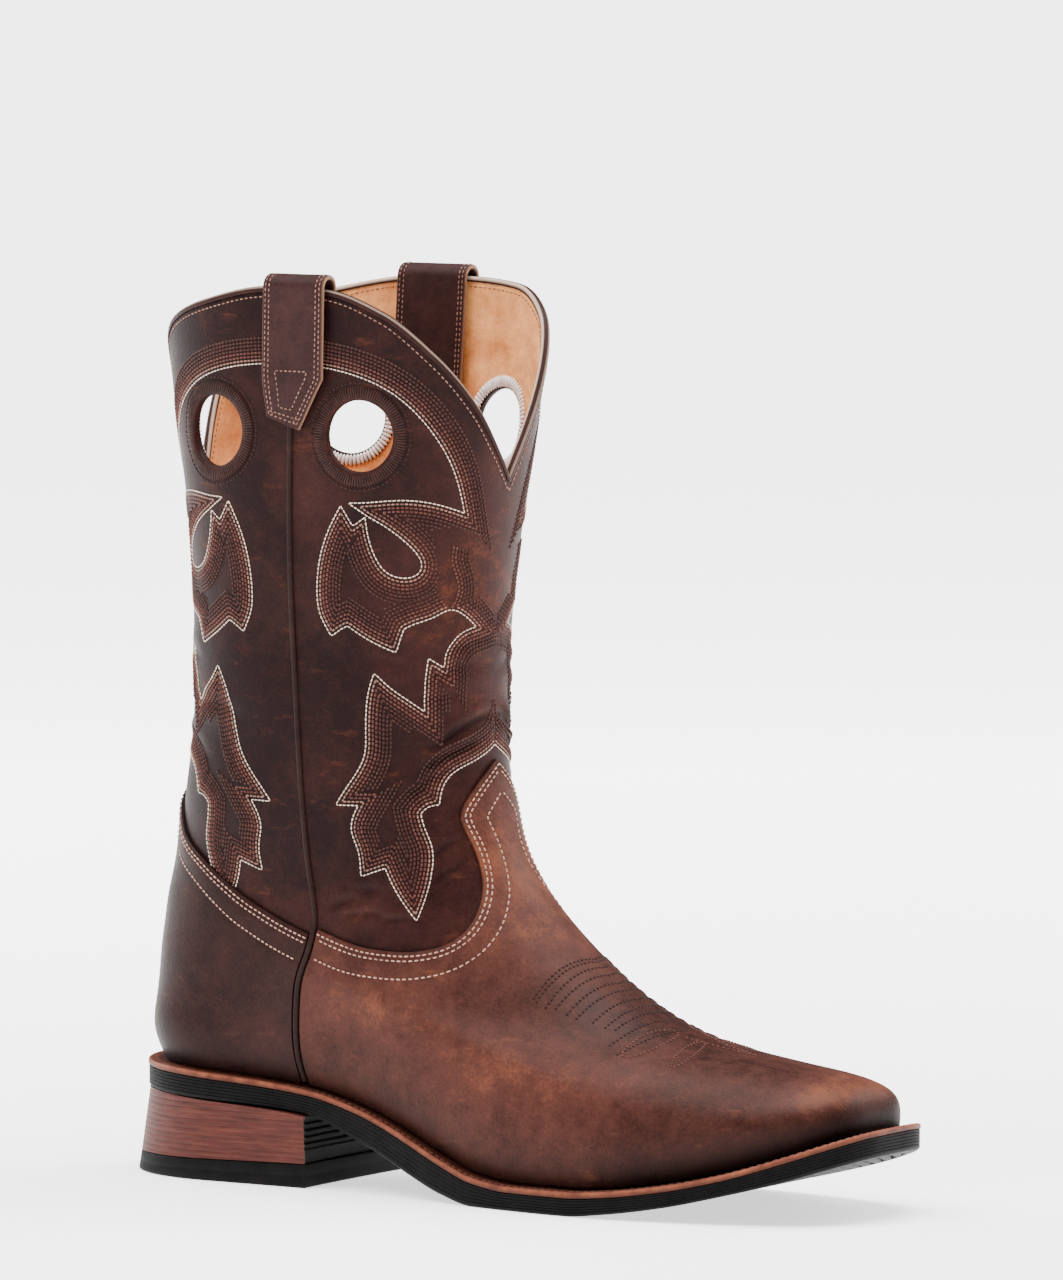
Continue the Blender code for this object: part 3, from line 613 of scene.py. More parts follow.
class Graph:
    """Writer for one material's nodes around a Principled shader."""

    def __init__(self, name: str, roughness: float) -> None:
        """Starts a material of a name, with its roughness where nothing is linked."""
        self.material = bpy.data.materials.new(name)
        self.material.use_nodes = True
        self.tree = self.material.node_tree
        self.shader = self.tree.nodes["Principled BSDF"]
        self.shader.inputs["Roughness"].default_value = roughness
        self.place = self.node("TexCoord", "Object", {})

    def fill(self, socket: Socket, value: object) -> None:
        """Links a socket, or sets a number or colour on it."""
        if isinstance(value, Socket):
            self.tree.links.new(value, socket)
        elif isinstance(value, tuple) and socket.type == "RGBA":
            socket.default_value = value + (1.0,)
        else:
            socket.default_value = value

    def node(self, kind: str, output: Union[str, int], inputs: dict[Union[str, int], object],
             **settings: object) -> Socket:
        """Adds a node.

        Args:
            kind: The node's type, without its ShaderNode in front.
            output: Output to give.
            inputs: What each input is linked to or set to.
            settings: The node's own settings.

        Returns:
            The output's socket.
        """
        node = self.tree.nodes.new(f"ShaderNode{kind}")
        for name, value in settings.items():
            setattr(node, name, value)
        for name, value in inputs.items():
            self.fill(node.inputs[name], value)
        return node.outputs[output]

    def scaled(self, scale: tuple[float, float, float]) -> Socket:
        """Object coordinates stretched along the axes."""
        return self.node("Mapping", "Vector", {"Vector": self.place, "Scale": scale})

    def noise(self, scale: float, detail: float = 3.0, rough: float = 0.55,
              vector: Optional[Socket] = None, warp: float = 0.0) -> Socket:
        """Noise from 0 to 1, scale in features per metre."""
        return self.node("TexNoise", "Fac", {"Vector": vector or self.place, "Scale": scale,
                                             "Detail": detail, "Roughness": rough, "Distortion": warp})

    def cells(self, scale: float) -> Socket:
        """Distance from the middle in a pattern of cells, scale in cells per metre."""
        return self.node("TexVoronoi", "Distance", {"Vector": self.place, "Scale": scale}, feature="F1")

    def held(self, name: str) -> Socket:
        """A value held at the piece's points."""
        return self.node("Attribute", "Fac", {}, attribute_name=name)

    def math(self, operation: str, a: object, b: object = 0.0, clamp: bool = False) -> Socket:
        """One arithmetic step."""
        return self.node("Math", 0, {0: a, 1: b}, operation=operation, use_clamp=clamp)

    def around(self, value: Socket, gain: float) -> Socket:
        """A noise turned about its middle: (value - 0.5) times gain."""
        return self.math("MULTIPLY", self.math("SUBTRACT", value, 0.5), gain)

    def spread(self, value: Socket, low: float, high: float, to_low: float, to_high: float) -> Socket:
        """Maps a range onto another, held at its ends."""
        return self.node("MapRange", "Result", {"Value": value, "From Min": low, "From Max": high,
                                                "To Min": to_low, "To Max": to_high})

    def ramp(self, value: Socket, stops: Sequence[tuple[float, Colour]]) -> Socket:
        """Colour along a scale of stops."""
        output = self.node("ValToRGB", "Color", {"Fac": value})
        band = output.node.color_ramp
        while len(band.elements) < len(stops):
            band.elements.new(0.5)
        for element, (place, colour) in zip(band.elements, stops):
            element.position = place
            element.color = colour + (1.0,)
        return output

    def mix(self, share: object, a: object, b: object) -> Socket:
        """Mixes two colours."""
        return self.node("Mix", 2, {0: share, 6: a, 7: b}, data_type="RGBA", blend_type="MIX")

    def shaded(self, colour: Socket, dark: Colour, share: float) -> Socket:
        """Darkens a colour by the points' shade, down to a share of the dark colour."""
        shade = self.math("MULTIPLY", self.held("shade"), 1.0, clamp=True)
        return self.mix(shade, colour, tuple(share * c for c in dark))

    def bump(self, height: Socket, strength: float, distance: float,
             over: Optional[Socket] = None) -> Socket:
        """Bump of a height, on top of another bump where there is one."""
        inputs = {"Strength": strength, "Distance": distance, "Height": height}
        if over is not None:
            inputs["Normal"] = over
        return self.node("Bump", "Normal", inputs)

    def close(self, colour: object, roughness: Optional[Socket] = None, normal: Optional[Socket] = None,
              gloss: Optional[float] = None) -> Material:
        """Fills the shader's colour, roughness, normal and gloss and gives the material."""
        inputs = {"Base Color": colour, "Roughness": roughness, "Normal": normal,
                  "Specular IOR Level": gloss}
        for name, value in inputs.items():
            if value is not None:
                self.fill(self.shader.inputs[name], value)
        return self.material


@dataclass(frozen=True)
class Leather:
    """Oiled leather: a scale from dark to burnished, cloudy and pored, with a raw cut edge.

    The point values burnish (0 dark to 1 worn bright), shade (0 to 1 darker: painted shade in the folds
    and down to the welt, and dark cut edges) and edge (1 raw: the raw cut edge, and a painted highlight
    on the collar binding's crown) steer the colour.
    """

    name: str
    dark: Colour
    middle: Colour
    bright: Colour
    roughness: float = 0.48
    cloud: float = 0.75
    raw: Colour = tint(124, 84, 66)
    mottle: float = 0.50
    speck: float = 0.40
    rubbed: float = 0.30
    grain: float = 0.00012
    gloss: float = 0.055

    def make(self) -> Material:
        """Builds the material."""
        g = Graph(self.name, self.roughness)
        cloud = g.noise(26.0, 4.0, 0.6, warp=0.6)
        mottle = g.noise(150.0, 3.0, 0.6)
        speck = g.noise(900.0, 2.0, 0.6)
        tone = g.math("ADD", g.held("burnish"), g.around(cloud, self.cloud))
        tone = g.math("ADD", tone, g.around(mottle, self.mottle))
        tone = g.math("ADD", tone, g.around(speck, self.speck), clamp=True)
        colour = g.ramp(tone, ((0.0, self.dark), (0.45, self.middle), (1.0, self.bright)))
        rub = g.noise(60.0, 5.0, 0.7, vector=g.scaled((1.0, 1.0, 3.2)))
        colour = g.mix(g.spread(rub, 0.60, 0.78, 0.0, self.rubbed), colour, self.bright)
        colour = g.mix(g.held("edge"), g.shaded(colour, self.dark, 0.22), self.raw)
        rough = g.math("ADD", g.around(mottle, 0.16), self.roughness)
        rough = g.math("ADD", rough, g.around(speck, 0.14), clamp=True)
        normal = g.bump(g.cells(1150.0), 0.35, self.grain)
        normal = g.bump(speck, 0.35, self.grain * 1.6, normal)
        normal = g.bump(mottle, 0.25, 0.0003, normal)
        normal = g.bump(g.noise(240.0, 4.0, 0.7, warp=2.4), 0.30, 0.00035, normal)
        return g.close(colour, rough, normal, self.gloss)


@dataclass(frozen=True)
class Plain:
    """Plain material with cloudy colour and fine bump, for lining, sole, rubber and thread."""

    name: str
    dark: Colour
    bright: Colour
    roughness: float
    cloud_scale: float = 120.0
    fine_scale: float = 1400.0
    bump: float = 0.00008
    stretch: tuple[float, float, float] = (1.0, 1.0, 1.0)
    gloss: float = 0.12

    def make(self) -> Material:
        """Builds the material."""
        g = Graph(self.name, self.roughness)
        place = g.scaled(self.stretch)
        cloud = g.noise(self.cloud_scale, 4.0, 0.62, vector=place)
        fine = g.noise(self.fine_scale, 2.0, 0.6, vector=place)
        tone = g.math("ADD", g.spread(cloud, 0.3, 0.7, 0.0, 1.0), g.around(fine, 0.5), clamp=True)
        colour = g.shaded(g.mix(tone, self.dark, self.bright), self.dark, 0.25)
        rough = g.math("ADD", g.around(fine, 0.2), self.roughness, clamp=True)
        normal = g.bump(fine, 0.5, self.bump)
        normal = g.bump(cloud, 0.3, self.bump * 3.0, normal)
        return g.close(colour, rough, normal, self.gloss)


class Thread(Enum):
    """Threads of the stitching, each with a dark and a bright display colour."""

    CREAM = ((186, 162, 142), (232, 214, 196))
    ROSE = ((146, 110, 94), (196, 158, 140))
    CLAY = ((105, 73, 63), (148, 111, 97))
    RUST = ((68, 38, 33), (98, 60, 52))
    MAROON = ((51, 29, 26), (74, 45, 40))
    DARK = ((30, 17, 16), (56, 33, 29))
    WHITE = ((196, 186, 182), (246, 240, 238))
    TAN = ((110, 68, 44), (168, 116, 80))
    BROWN = ((46, 28, 24), (70, 44, 37))

    @property
    def label(self) -> str:
        """The thread's name in the names of pieces and materials."""
        return self.name.lower()

    def make(self) -> Material:
        """Builds the thread's material."""
        dark, bright = (tint(*colour) for colour in self.value)
        return Plain(f"thread_{self.label}", dark, bright, 0.6, 400.0, 3000.0, 0.00005).make()


@dataclass(frozen=True)
class Stitch:
    """One kind of stitch: spacing, thread length, half thickness and how far it stands out."""

    pitch: float = 2.0
    length: float = 1.62
    radius: float = 0.30
    proud: float = 0.12
    sides: int = 6

    def spaced(self, line: Array) -> tuple[Array, Array]:
        """Start and end of each stitch by length along a line.

        Args:
            line: Points along the line, any number of axes.

        Returns:
            Starts and ends, one row each.
        """
        run = lengths(line)
        count = int(round(run[-1] / self.pitch))
        if count < 1:
            return np.zeros((0, line.shape[1])), np.zeros((0, line.shape[1]))
        middle = (np.arange(count) + 0.5) * run[-1] / count
        read = lambda at: np.column_stack([np.interp(at, run, line[:, i]) for i in range(line.shape[1])])
        return read(middle - self.length / 2), read(middle + self.length / 2)

    def sew(self, start: Array, end: Array, normal: Array) -> Skin:
        """Spindles of thread between starts and ends.

        Each has two rings at 0.3 of its length from the middle, of the radius across the normal
        and the side direction, and a pole at each end, sunk by half the radius.

        Args:
            start: Start points.
            end: End points.
            normal: Outward normals.

        Returns:
            Skin of all the stitches.
        """
        count = len(start)
        middle = (start + end) / 2 + normal * self.proud
        along = end - start
        side = unit(np.cross(normal, along))
        up = unit(np.cross(along, side))
        turn = full_turn(self.sides)
        ring = (side[:, None] * np.cos(turn)[None, :, None]
                + up[:, None] * np.sin(turn)[None, :, None]) * self.radius
        rings = [middle[:, None] + along[:, None] * share + ring for share in (-0.3, 0.3)]
        sunk = up * self.radius * 0.6
        poles = [(middle + along * share - sunk)[:, None] for share in (-0.5, 0.5)]
        points = np.concatenate(rings + poles, axis=1)
        first = np.arange(self.sides)
        onward = np.roll(first, -1)
        low, high = 2 * self.sides, 2 * self.sides + 1
        quads = np.column_stack([first, onward, onward + self.sides, first + self.sides])
        ends = np.concatenate([
            np.column_stack([onward, first, np.full(self.sides, low)]),
            np.column_stack([first + self.sides, onward + self.sides, np.full(self.sides, high)]),
        ])
        base = (np.arange(count) * points.shape[1])[:, None, None]
        return Skin(points.reshape(-1, 3), [(quads[None] + base).reshape(-1, 4),
                                            (ends[None] + base).reshape(-1, 3)])


@dataclass(frozen=True)
class Outline:
    """A line on a panel, as (u, z, corner) knots: smooth between corners, mitred at them."""

    knots: tuple[tuple[float, float, int], ...]

    def sampled(self, step: float = 0.35) -> tuple[Array, Array]:
        """Points along the line and their left-hand normals; a corner's normal is its mitre."""
        spots = np.array([k[:2] for k in self.knots], float)
        corners = [i for i, k in enumerate(self.knots) if k[2] or i in (0, len(self.knots) - 1)]
        places: list[Array] = []
        normals: list[Array] = []
        for a, b in zip(corners[:-1], corners[1:]):
            arc = spots[a:b + 1]
            run = lengths(arc)
            count = max(int(run[-1] / step), 4)
            line = natural_spline(run, arc, np.linspace(0.0, run[-1], count + 1))
            along = unit(np.gradient(line, axis=0))
            normal = np.column_stack([-along[:, 1], along[:, 0]])
            if normals:
                before = normals[-1][-1]
                mitre = (before + normal[0]) / max(1.0 + before @ normal[0], 0.25)
                places.append(line[:1])
                normals.append(mitre[None])
            places.append(line)
            normals.append(normal)
        return np.concatenate(places), np.concatenate(normals)

    def beside(self, distance: float, others: Array) -> list[Array]:
        """Parallel lines at a distance to the left, cut where any outline is nearer.

        Args:
            distance: Distance; minus lies to the right.
            others: Points of all outlines to stay clear of.

        Returns:
            The runs that are left.
        """
        places, normals = self.sampled()
        moved = places + normals * distance
        gap = np.concatenate([
            np.sqrt(((part[:, None] - others[None]) ** 2).sum(-1).min(axis=1))
            for part in np.array_split(moved, 8)])
        index = np.flatnonzero(gap > abs(distance) - 0.06)
        jump = np.linalg.norm(np.diff(moved[index], axis=0), axis=1)
        breaks = np.flatnonzero((np.diff(index) > 1) & (jump > 1.3)) + 1
        return [moved[part] for part in np.split(index, breaks) if len(part) > 5]


@dataclass
class Seamstress:
    """Collects stitches by thread and sews each thread's pieces."""

    bench: Bench
    lots: dict[tuple[str, Thread], list[Skin]] = field(default_factory=dict)

    def lay(self, group: str, thread: Thread, skin: Skin) -> None:
        """Adds stitches to a group's thread."""
        if len(skin.points):
            self.lots.setdefault((group, thread), []).append(skin)

    def trace(self, group: str, thread: Thread, stitch: Stitch, path: Array, normal: Array) -> None:
        """Sews stitches along a line of points with their normals."""
        start, end = stitch.spaced(np.concatenate([path, normal], axis=1))
        self.lay(group, thread, stitch.sew(start[:, :3], end[:, :3], unit(start[:, 3:])))

    def cover(self, group: str, thread: Thread, stitch: Stitch, side: Side, ends: Sequence[Array],
              height: Callable[[Array, Array], Array], middle_room: float, seam_room: float) -> None:
        """Sews stitches given in panel places on one side, clear of its middle lines and its seam.

        Args:
            group: Group of the stitches.
            thread: Their thread.
            stitch: Their kind.
            side: Side of the boot.
            ends: Starts and ends, (u, z) in each row.
            height: Height over the upper at u and z.
            middle_room: Room at the front and back middle line, in places around.
            seam_room: Room at the side seam, in places around.
        """
        last = self.bench.last
        level, around = last.panel(side, *((ends[0] + ends[1]) / 2).T)
        part = around * side.value
        good = (part > middle_room) & (part < 2.0 - middle_room) & (np.abs(part - 1.0) >= seam_room)
        if good.any():
            spots = [last.on_panel(side, u, z, height(u, z))[0] for u, z in (e[good].T for e in ends)]
            self.lay(group, thread, stitch.sew(*spots, last.normal(level[good], around[good])))

    def finish(self) -> None:
        """Makes one piece for each group and thread."""
        made = {thread: thread.make() for thread in Thread}
        for (group, thread), skins in self.lots.items():
            self.bench.add(f"stitch_{group}_{thread.label}", Skin.join(skins), [made[thread]])


@dataclass(frozen=True)
class Patch:
    """A soft worn patch over two axes: its gain, and the middle and spread along each axis."""

    gain: float
    first: tuple[float, float]
    second: tuple[float, float]

    def at(self, a: Array, b: Array) -> Array:
        """gain * exp(-((a - a0) / s)^2 - ((b - b0) / t)^2)."""
        spread = bell((a - self.first[0]) / self.first[1])
        return self.gain * spread * bell((b - self.second[0]) / self.second[1])


@dataclass(frozen=True)
class Crease:
    """A fold in the shaft leather between two panel places, with its depth and half-width."""

    u0: float
    z0: float
    u1: float
    z1: float
    depth: float
    width: float
    bow: float = 0.08
    fade: float = 0.35
    lip: float = 0.55
    lip_off: float = 1.9

    def height(self, u: Array, z: Array) -> Array:
        """Valley -depth*exp(-(d/w)^2) with a raised lip beside it, faded at both ends."""
        du, dz = self.u1 - self.u0, self.z1 - self.z0
        size = np.hypot(du, dz)
        along = ((u - self.u0) * du + (z - self.z0) * dz) / size
        across = ((z - self.z0) * du - (u - self.u0) * dz) / size
        across = across - self.bow * size * np.sin(np.pi * np.clip(along / size, 0, 1))
        fade = ease(along / (self.fade * size)) * ease((size - along) / (self.fade * size))
        lip = self.lip * bell((np.abs(across) - self.lip_off * self.width) / self.width)
        return self.depth * fade * (lip - bell(across / self.width))


@dataclass
class Shaft:
    """Shaft and foot of the upper in one leather wall with its lining, pull holes and folds."""

    last: Last
    columns: int = 248
    foot_rows: int = 22
    shaft_rows: int = 140
    shaft_from: float = 7.0
    hole_radius: float = HOLE_RADIUS
    hole_z: float = 270.0
    hole_spots: tuple[tuple[float, float], ...] = ((0.694, 1.36), (0.63, 1.345))
    patches: tuple[Patch, ...] = (
        Patch(0.30, (26.0, 24.0), (99.0, 9.0)), Patch(0.16, (46.0, 26.0), (212.0, 20.0)),
        Patch(0.30, (7.0, 11.0), (250.0, 18.0)))
    creases: tuple[Crease, ...] = (
        Crease(44.0, 181.0, 80.0, 187.0, 0.40, 2.0), Crease(50.0, 189.0, 82.0, 196.0, 0.25, 1.6),
        Crease(40.0, 174.0, 70.0, 176.0, 0.35, 1.6), Crease(48.0, 156.0, 82.0, 171.0, 1.15, 1.7),
        Crease(42.0, 147.0, 74.0, 161.5, 0.95, 1.6), Crease(38.0, 139.0, 60.0, 152.0, 0.60, 1.5),
        Crease(46.0, 118.0, 61.0, 127.0, 0.45, 1.6), Crease(44.0, 108.0, 62.0, 118.0, 0.40, 1.6),
        Crease(4.0, 100.0, 24.0, 104.5, 0.50, 1.7), Crease(6.0, 96.5, 34.0, 99.0, 0.45, 1.6),
        Crease(22.0, 95.0, 48.0, 97.5, 0.40, 1.5), Crease(14.0, 106.0, 32.0, 108.0, 0.30, 1.6),
        Crease(-60.0, 172.0, -20.0, 166.0, 0.35, 2.4), Crease(-76.0, 158.0, -40.0, 150.0, 0.45, 2.6),
        Crease(-70.0, 190.0, -44.0, 186.0, 0.30, 2.2), Crease(24.0, 190.0, 46.0, 186.0, 0.25, 1.7),
    )

    def relief(self, u: Array, z: Array) -> Array:
        """Height of the leather over the last from its folds and a slow wave at the ankle."""
        height = sum(c.height(u, z) for c in self.creases)
        wave = np.sin(z / 8.5 + u / 21.0) * np.sin(u / 30.0 - z / 47.0)
        return height + 0.35 * wave * bell((z - 165.0) / 42.0) * ease((z - 105.0) / 15.0)

    def hole_centres(self) -> list[tuple[Side, float, float]]:
        """Side, u and z of the four pull holes."""
        spots = []
        for side, pair in zip(Side, self.hole_spots):
            for spot in pair:
                around = np.array([side.value * spot])
                level = self.last.level_of(around, np.array([self.hole_z]))
                spots.append((side, float(self.last.u_of(level, around)[0]), self.hole_z))
        return spots

    def burnish(self, u: Array, z: Array) -> Array:
        """Wear of the shaft: bright down the front and low at the ankle, dark at back and top."""
        front = ease((u - 22.0) / 62.0) * (1.0 - 0.75 * ease((z - 225.0) / 60.0))
        edge = 0.18 * ease((z - 235.0) / 30.0) * ease((u - 70.0) / 14.0)
        return 0.06 + 0.36 * front + edge + sum(patch.at(u, z) for patch in self.patches)

    def lining_waves(self, u: Array, z: Array) -> Array:
        """Slack diagonal wrinkles of the lining: 0.7 sin(a) gated by a slower sine, near the top."""
        gate = np.clip(np.sin((z - 0.7 * u) / 17.0) + 0.3, 0.0, 1.0)
        wave = np.sin((z + 0.9 * u) / 1.35 + 1.4 * np.sin((z - u) / 9.0))
        return 0.7 * gate * wave * ease((z - 225.0) / 25.0)

    def build(self, bench: Bench, leather: Material, lining: Material) -> None:
        """Makes the wall: a grid of places around and levels up to the collar on both faces."""
        last = self.last
        around = np.linspace(-2.0, 2.0, self.columns + 1)[:-1]
        rim = last.level_of(around, collar_height(around))
        foot = np.linspace(0.0, self.shaft_from, self.foot_rows)[:-1, None] + 0.0 * around
        share = np.linspace(0.0, 1.0, self.shaft_rows)[:, None]
        level = np.concatenate([foot, self.shaft_from + (rim - self.shaft_from) * share])
        around = np.broadcast_to(around, level.shape).copy()
        u = last.u_of(level, around)
        z = last.point(level, around)[..., 2]
        next_u = (u + np.roll(u, -1, axis=1)) / 2
        cell_u = (next_u[:-1] + next_u[1:]) / 2
        cell_z = (z[:-1] + np.roll(z, -1, axis=1)[:-1] + z[1:] + np.roll(z, -1, axis=1)[1:]) / 4
        keep = np.ones(cell_u.shape, bool)
        centres = self.hole_centres()
        signed = (around[:-1] + np.roll(around, -1, axis=1)[:-1]) / 2
        for side, hole_u, hole_z in centres:
            near = np.hypot(cell_u - hole_u, cell_z - hole_z) < self.hole_radius
            keep &= ~(near & (signed * side.value > 0.1))
        edge = rim_points(keep, True)
        edge[0] = edge[-1] = False
        for side, hole_u, hole_z in centres:
            mine = edge & (around * side.value > 0) & (np.hypot(u - hole_u, z - hole_z) < 20.0)
            reach = np.hypot(u[mine] - hole_u, z[mine] - hole_z)
            new_u = hole_u + (u[mine] - hole_u) * self.hole_radius / reach
            new_z = hole_z + (z[mine] - hole_z) * self.hole_radius / reach
            level[mine], around[mine] = last.panel(side, new_u, new_z)
        u = last.u_of(level, around)
        z = last.point(level, around)[..., 2]
        relief = self.relief(u, z)
        outer = last.lift(level, around, relief)
        slack = self.lining_waves(u, z) * ease((collar_height(around) - z - 3.0) / 8.0)
        inner = last.lift(level, around, relief * 0.6 - WALL - np.abs(slack))
        burnish = np.stack([self.burnish(u, z), 0.0 * u])
        # shade: painted shade in the crease valleys on the outer face and in the lining's wrinkles on the
        # inner face
        shade = np.clip(-relief / 1.2, 0.0, 0.6)
        skin = cut_shell(outer, inner, keep, True, {
            "burnish": burnish, "shade": np.stack([shade, 0.45 * np.abs(slack)]), "edge": 0.0 * burnish})
        bench.add("boot_upper", skin, [leather, lining, lining], ["upper"], "shaft_leather")


VAMP_EDGE = Outline((
    (2.2, 93.6, 1), (7.4, 91.9, 0), (13.4, 90.1, 0), (21.4, 88.3, 0), (28.1, 87.6, 0),
    (34.1, 87.3, 0), (40.3, 87.4, 0), (46.1, 88.2, 0), (52.3, 89.9, 0), (57.4, 92.8, 0),
    (61.2, 96.4, 0), (63.8, 100.5, 0), (65.5, 104.9, 0), (66.3, 109.7, 0), (66.1, 114.1, 0),
    (65.3, 118.5, 0), (63.9, 122.9, 0), (62.1, 127.0, 0), (60.3, 131.0, 0), (59.2, 134.4, 1),
    (60.4, 137.6, 0), (63.1, 141.2, 0), (66.2, 144.6, 0), (69.4, 147.6, 0), (73.8, 151.2, 0),
    (78.4, 154.2, 0), (86.2, 157.4, 1),
))
COUNTER_EDGE = Outline((
    (-1.5, 91.7, 1), (-8.9, 94.1, 0), (-17.1, 97.2, 0), (-24.7, 100.5, 0), (-32.5, 104.2, 0),
    (-38.2, 107.5, 0), (-44.1, 111.0, 0), (-49.7, 114.5, 0), (-55.2, 117.7, 0),
    (-60.6, 120.7, 0), (-64.8, 123.6, 0), (-68.6, 127.4, 0), (-72.4, 131.5, 0),
    (-77.0, 135.6, 0), (-82.6, 138.4, 0), (-91.2, 139.4, 1),
))

# Worn patches of the overlays over x and z: ball, toe and side of the vamp, side of the counter
VAMP_PATCHES = (Patch(0.26, (185.0, 50.0), (50.0, 12.0)), Patch(0.50, (291.0, 11.0), (43.0, 5.0)),
                Patch(0.28, (112.0, 26.0), (67.0, 9.0)))
COUNTER_PATCHES = (Patch(0.22, (70.0, 16.0), (52.0, 10.0)),)


@dataclass
class Overlay:
    """A leather piece laid over the upper up to an edge line: the vamp or the counter."""

    last: Last
    name: str
    edge: Outline
    front: bool
    patches: tuple[Patch, ...]
    rows: int = 120
    columns: int = 300
    top: float = 11.6
    start: float = 0.1
    thick: float = 1.6
    seam_room: float = 1.8
    row_offsets: tuple[float, ...] = (1.6, 3.3, 9.7)
    sunk: float = 0.1
    middle_room: float = 0.004
    sewn_room: float = 0.02

    def region(self) -> Array:
        """Polygon of the kept panel places: the edge line closed far below it."""
        line = self.edge.sampled()[0]
        far = 420.0 if self.front else -420.0
        near = line[0, 0] - np.sign(far) * 9.0
        tail = np.array([[far, line[-1, 1]], [far, -60.0], [near, -60.0], [near, line[0, 1] + 2.5]])
        return np.concatenate([line, tail])

    def wear(self, point: Array) -> tuple[Array, Array]:
        """Burnish of the piece at points, and painted shade darkening it down to the welt, from their place
        and height over the welt.
        """
        x, z = point[..., 0], point[..., 2]
        rise = np.maximum(z - seat(x), 0.0)
        # low: painted shade, a dark line along the welt and a softer darkening a little above it
        low = np.maximum(0.95 * bell(rise / 2.8), 0.55 * bell(rise / 13.0))
        worn = sum(patch.at(x, z) for patch in self.patches)
        if not self.front:
            # counter: the burnish dims with the painted shade low too; the shade is low plus a darker band
            # about 108 mm up
            return 0.18 + worn - 0.1 * low, 0.8 * low + 0.25 * bell((z - 108.0) / 16.0)
        instep = 0.32 * bell((z - 112.0) / 26.0) * ease((x - 126.0) / 24.0)
        crown = -0.14 * bell((x - 225.0) / 30.0) * ease((z - 46.0) / 10.0)
        # painted shade, broader down the lower side of the toe
        low = np.maximum(low, 0.95 * bell(rise / 14.0) * ease((x - 190.0) / 45.0))
        return 0.24 + instep + worn + crown, low

    def build(self, bench: Bench, leather: Material, slot: str) -> None:
        """Makes the piece: a grid of places around and levels, cut along the edge line."""
        last = self.last
        steps = np.linspace(-1.0, 1.0, self.columns)
        level = np.linspace(self.start, self.top, self.rows)[:, None] + 0.0 * steps
        share = np.abs(steps) * (0.55 + 0.45 * np.abs(steps)) if self.front else np.abs(steps)
        runs = last.front_run if self.front else last.back_run
        room = self.seam_room / np.interp(level, last.levels, runs)
        if self.front:
            around = np.sign(steps) * share * (1.0 - room)
        else:
            around = np.where(steps < 0, 1.0 + room + (1.0 - room) * (1.0 - share),
                              -1.0 - room - (1.0 - room) * (1.0 - share))
        u = last.u_of(level, around)
        z = last.point(level, around)[..., 2]
        cell = lambda grid: (grid[:-1, :-1] + grid[:-1, 1:] + grid[1:, :-1] + grid[1:, 1:]) / 4
        keep = inside(self.region(), cell(u), cell(z))
        rim = rim_points(keep, False)
        line = self.edge.sampled()[0]
        spots = nearest_on(line, np.column_stack([u[rim], z[rim]]))
        new_level = np.zeros(rim.sum())
        new_around = np.zeros(rim.sum())
        signs = np.sign(around[rim])
        for side in Side:
            mine = signs == side.value if side is Side.OUTER else signs >= 0
            new_level[mine], found = last.panel(side, spots[mine, 0], spots[mine, 1])
            new_around[mine] = side.value * np.clip(found * side.value, 0.0, 2.0)
        level[rim] = new_level
        around[rim] = new_around
        u = last.u_of(level, around)
        point = last.point(level, around)
        burnish, shade = self.wear(point)
        places = np.column_stack([u.ravel(), point[..., 2].ravel()])
        depth = np.linalg.norm(nearest_on(line, places) - places, axis=1).reshape(u.shape)
        thick = self.thick - 0.55 * bell(depth / 0.9)
        sunk = sum(0.16 * bell((depth - d) / 0.8) for d in self.row_offsets)
        outer = last.lift(level, around, thick - sunk)
        worn = np.clip(burnish + 0.12 * bell(depth / 2.0), 0.0, 1.0)
        skin = cut_shell(outer, point, keep, False, {
            "burnish": np.stack([worn, worn]), "edge": np.zeros((2,) + u.shape),
            "shade": np.stack([np.maximum(shade, 0.45 * rim), np.maximum(shade, 0.85 * rim)])})
        bench.add(f"boot_{self.name}", skin, [leather], [self.name], slot, sharp=50.0)

    def sew(self, hand: Seamstress) -> None:
        """Sews the rows beside the edge on both sides of the boot."""
        stitch = Stitch(pitch=2.2, length=1.6, radius=0.28, proud=0.08)
        sign = -1.0 if self.front else 1.0
        others = self.edge.sampled()[0]
        for distance in self.row_offsets:
            for run in self.edge.beside(sign * distance, others):
                for side in Side:
                    hand.cover("overlay", Thread.ROSE, stitch, side, stitch.spaced(run),
                               lambda u, z: self.thick - self.sunk, self.middle_room, self.sewn_room)


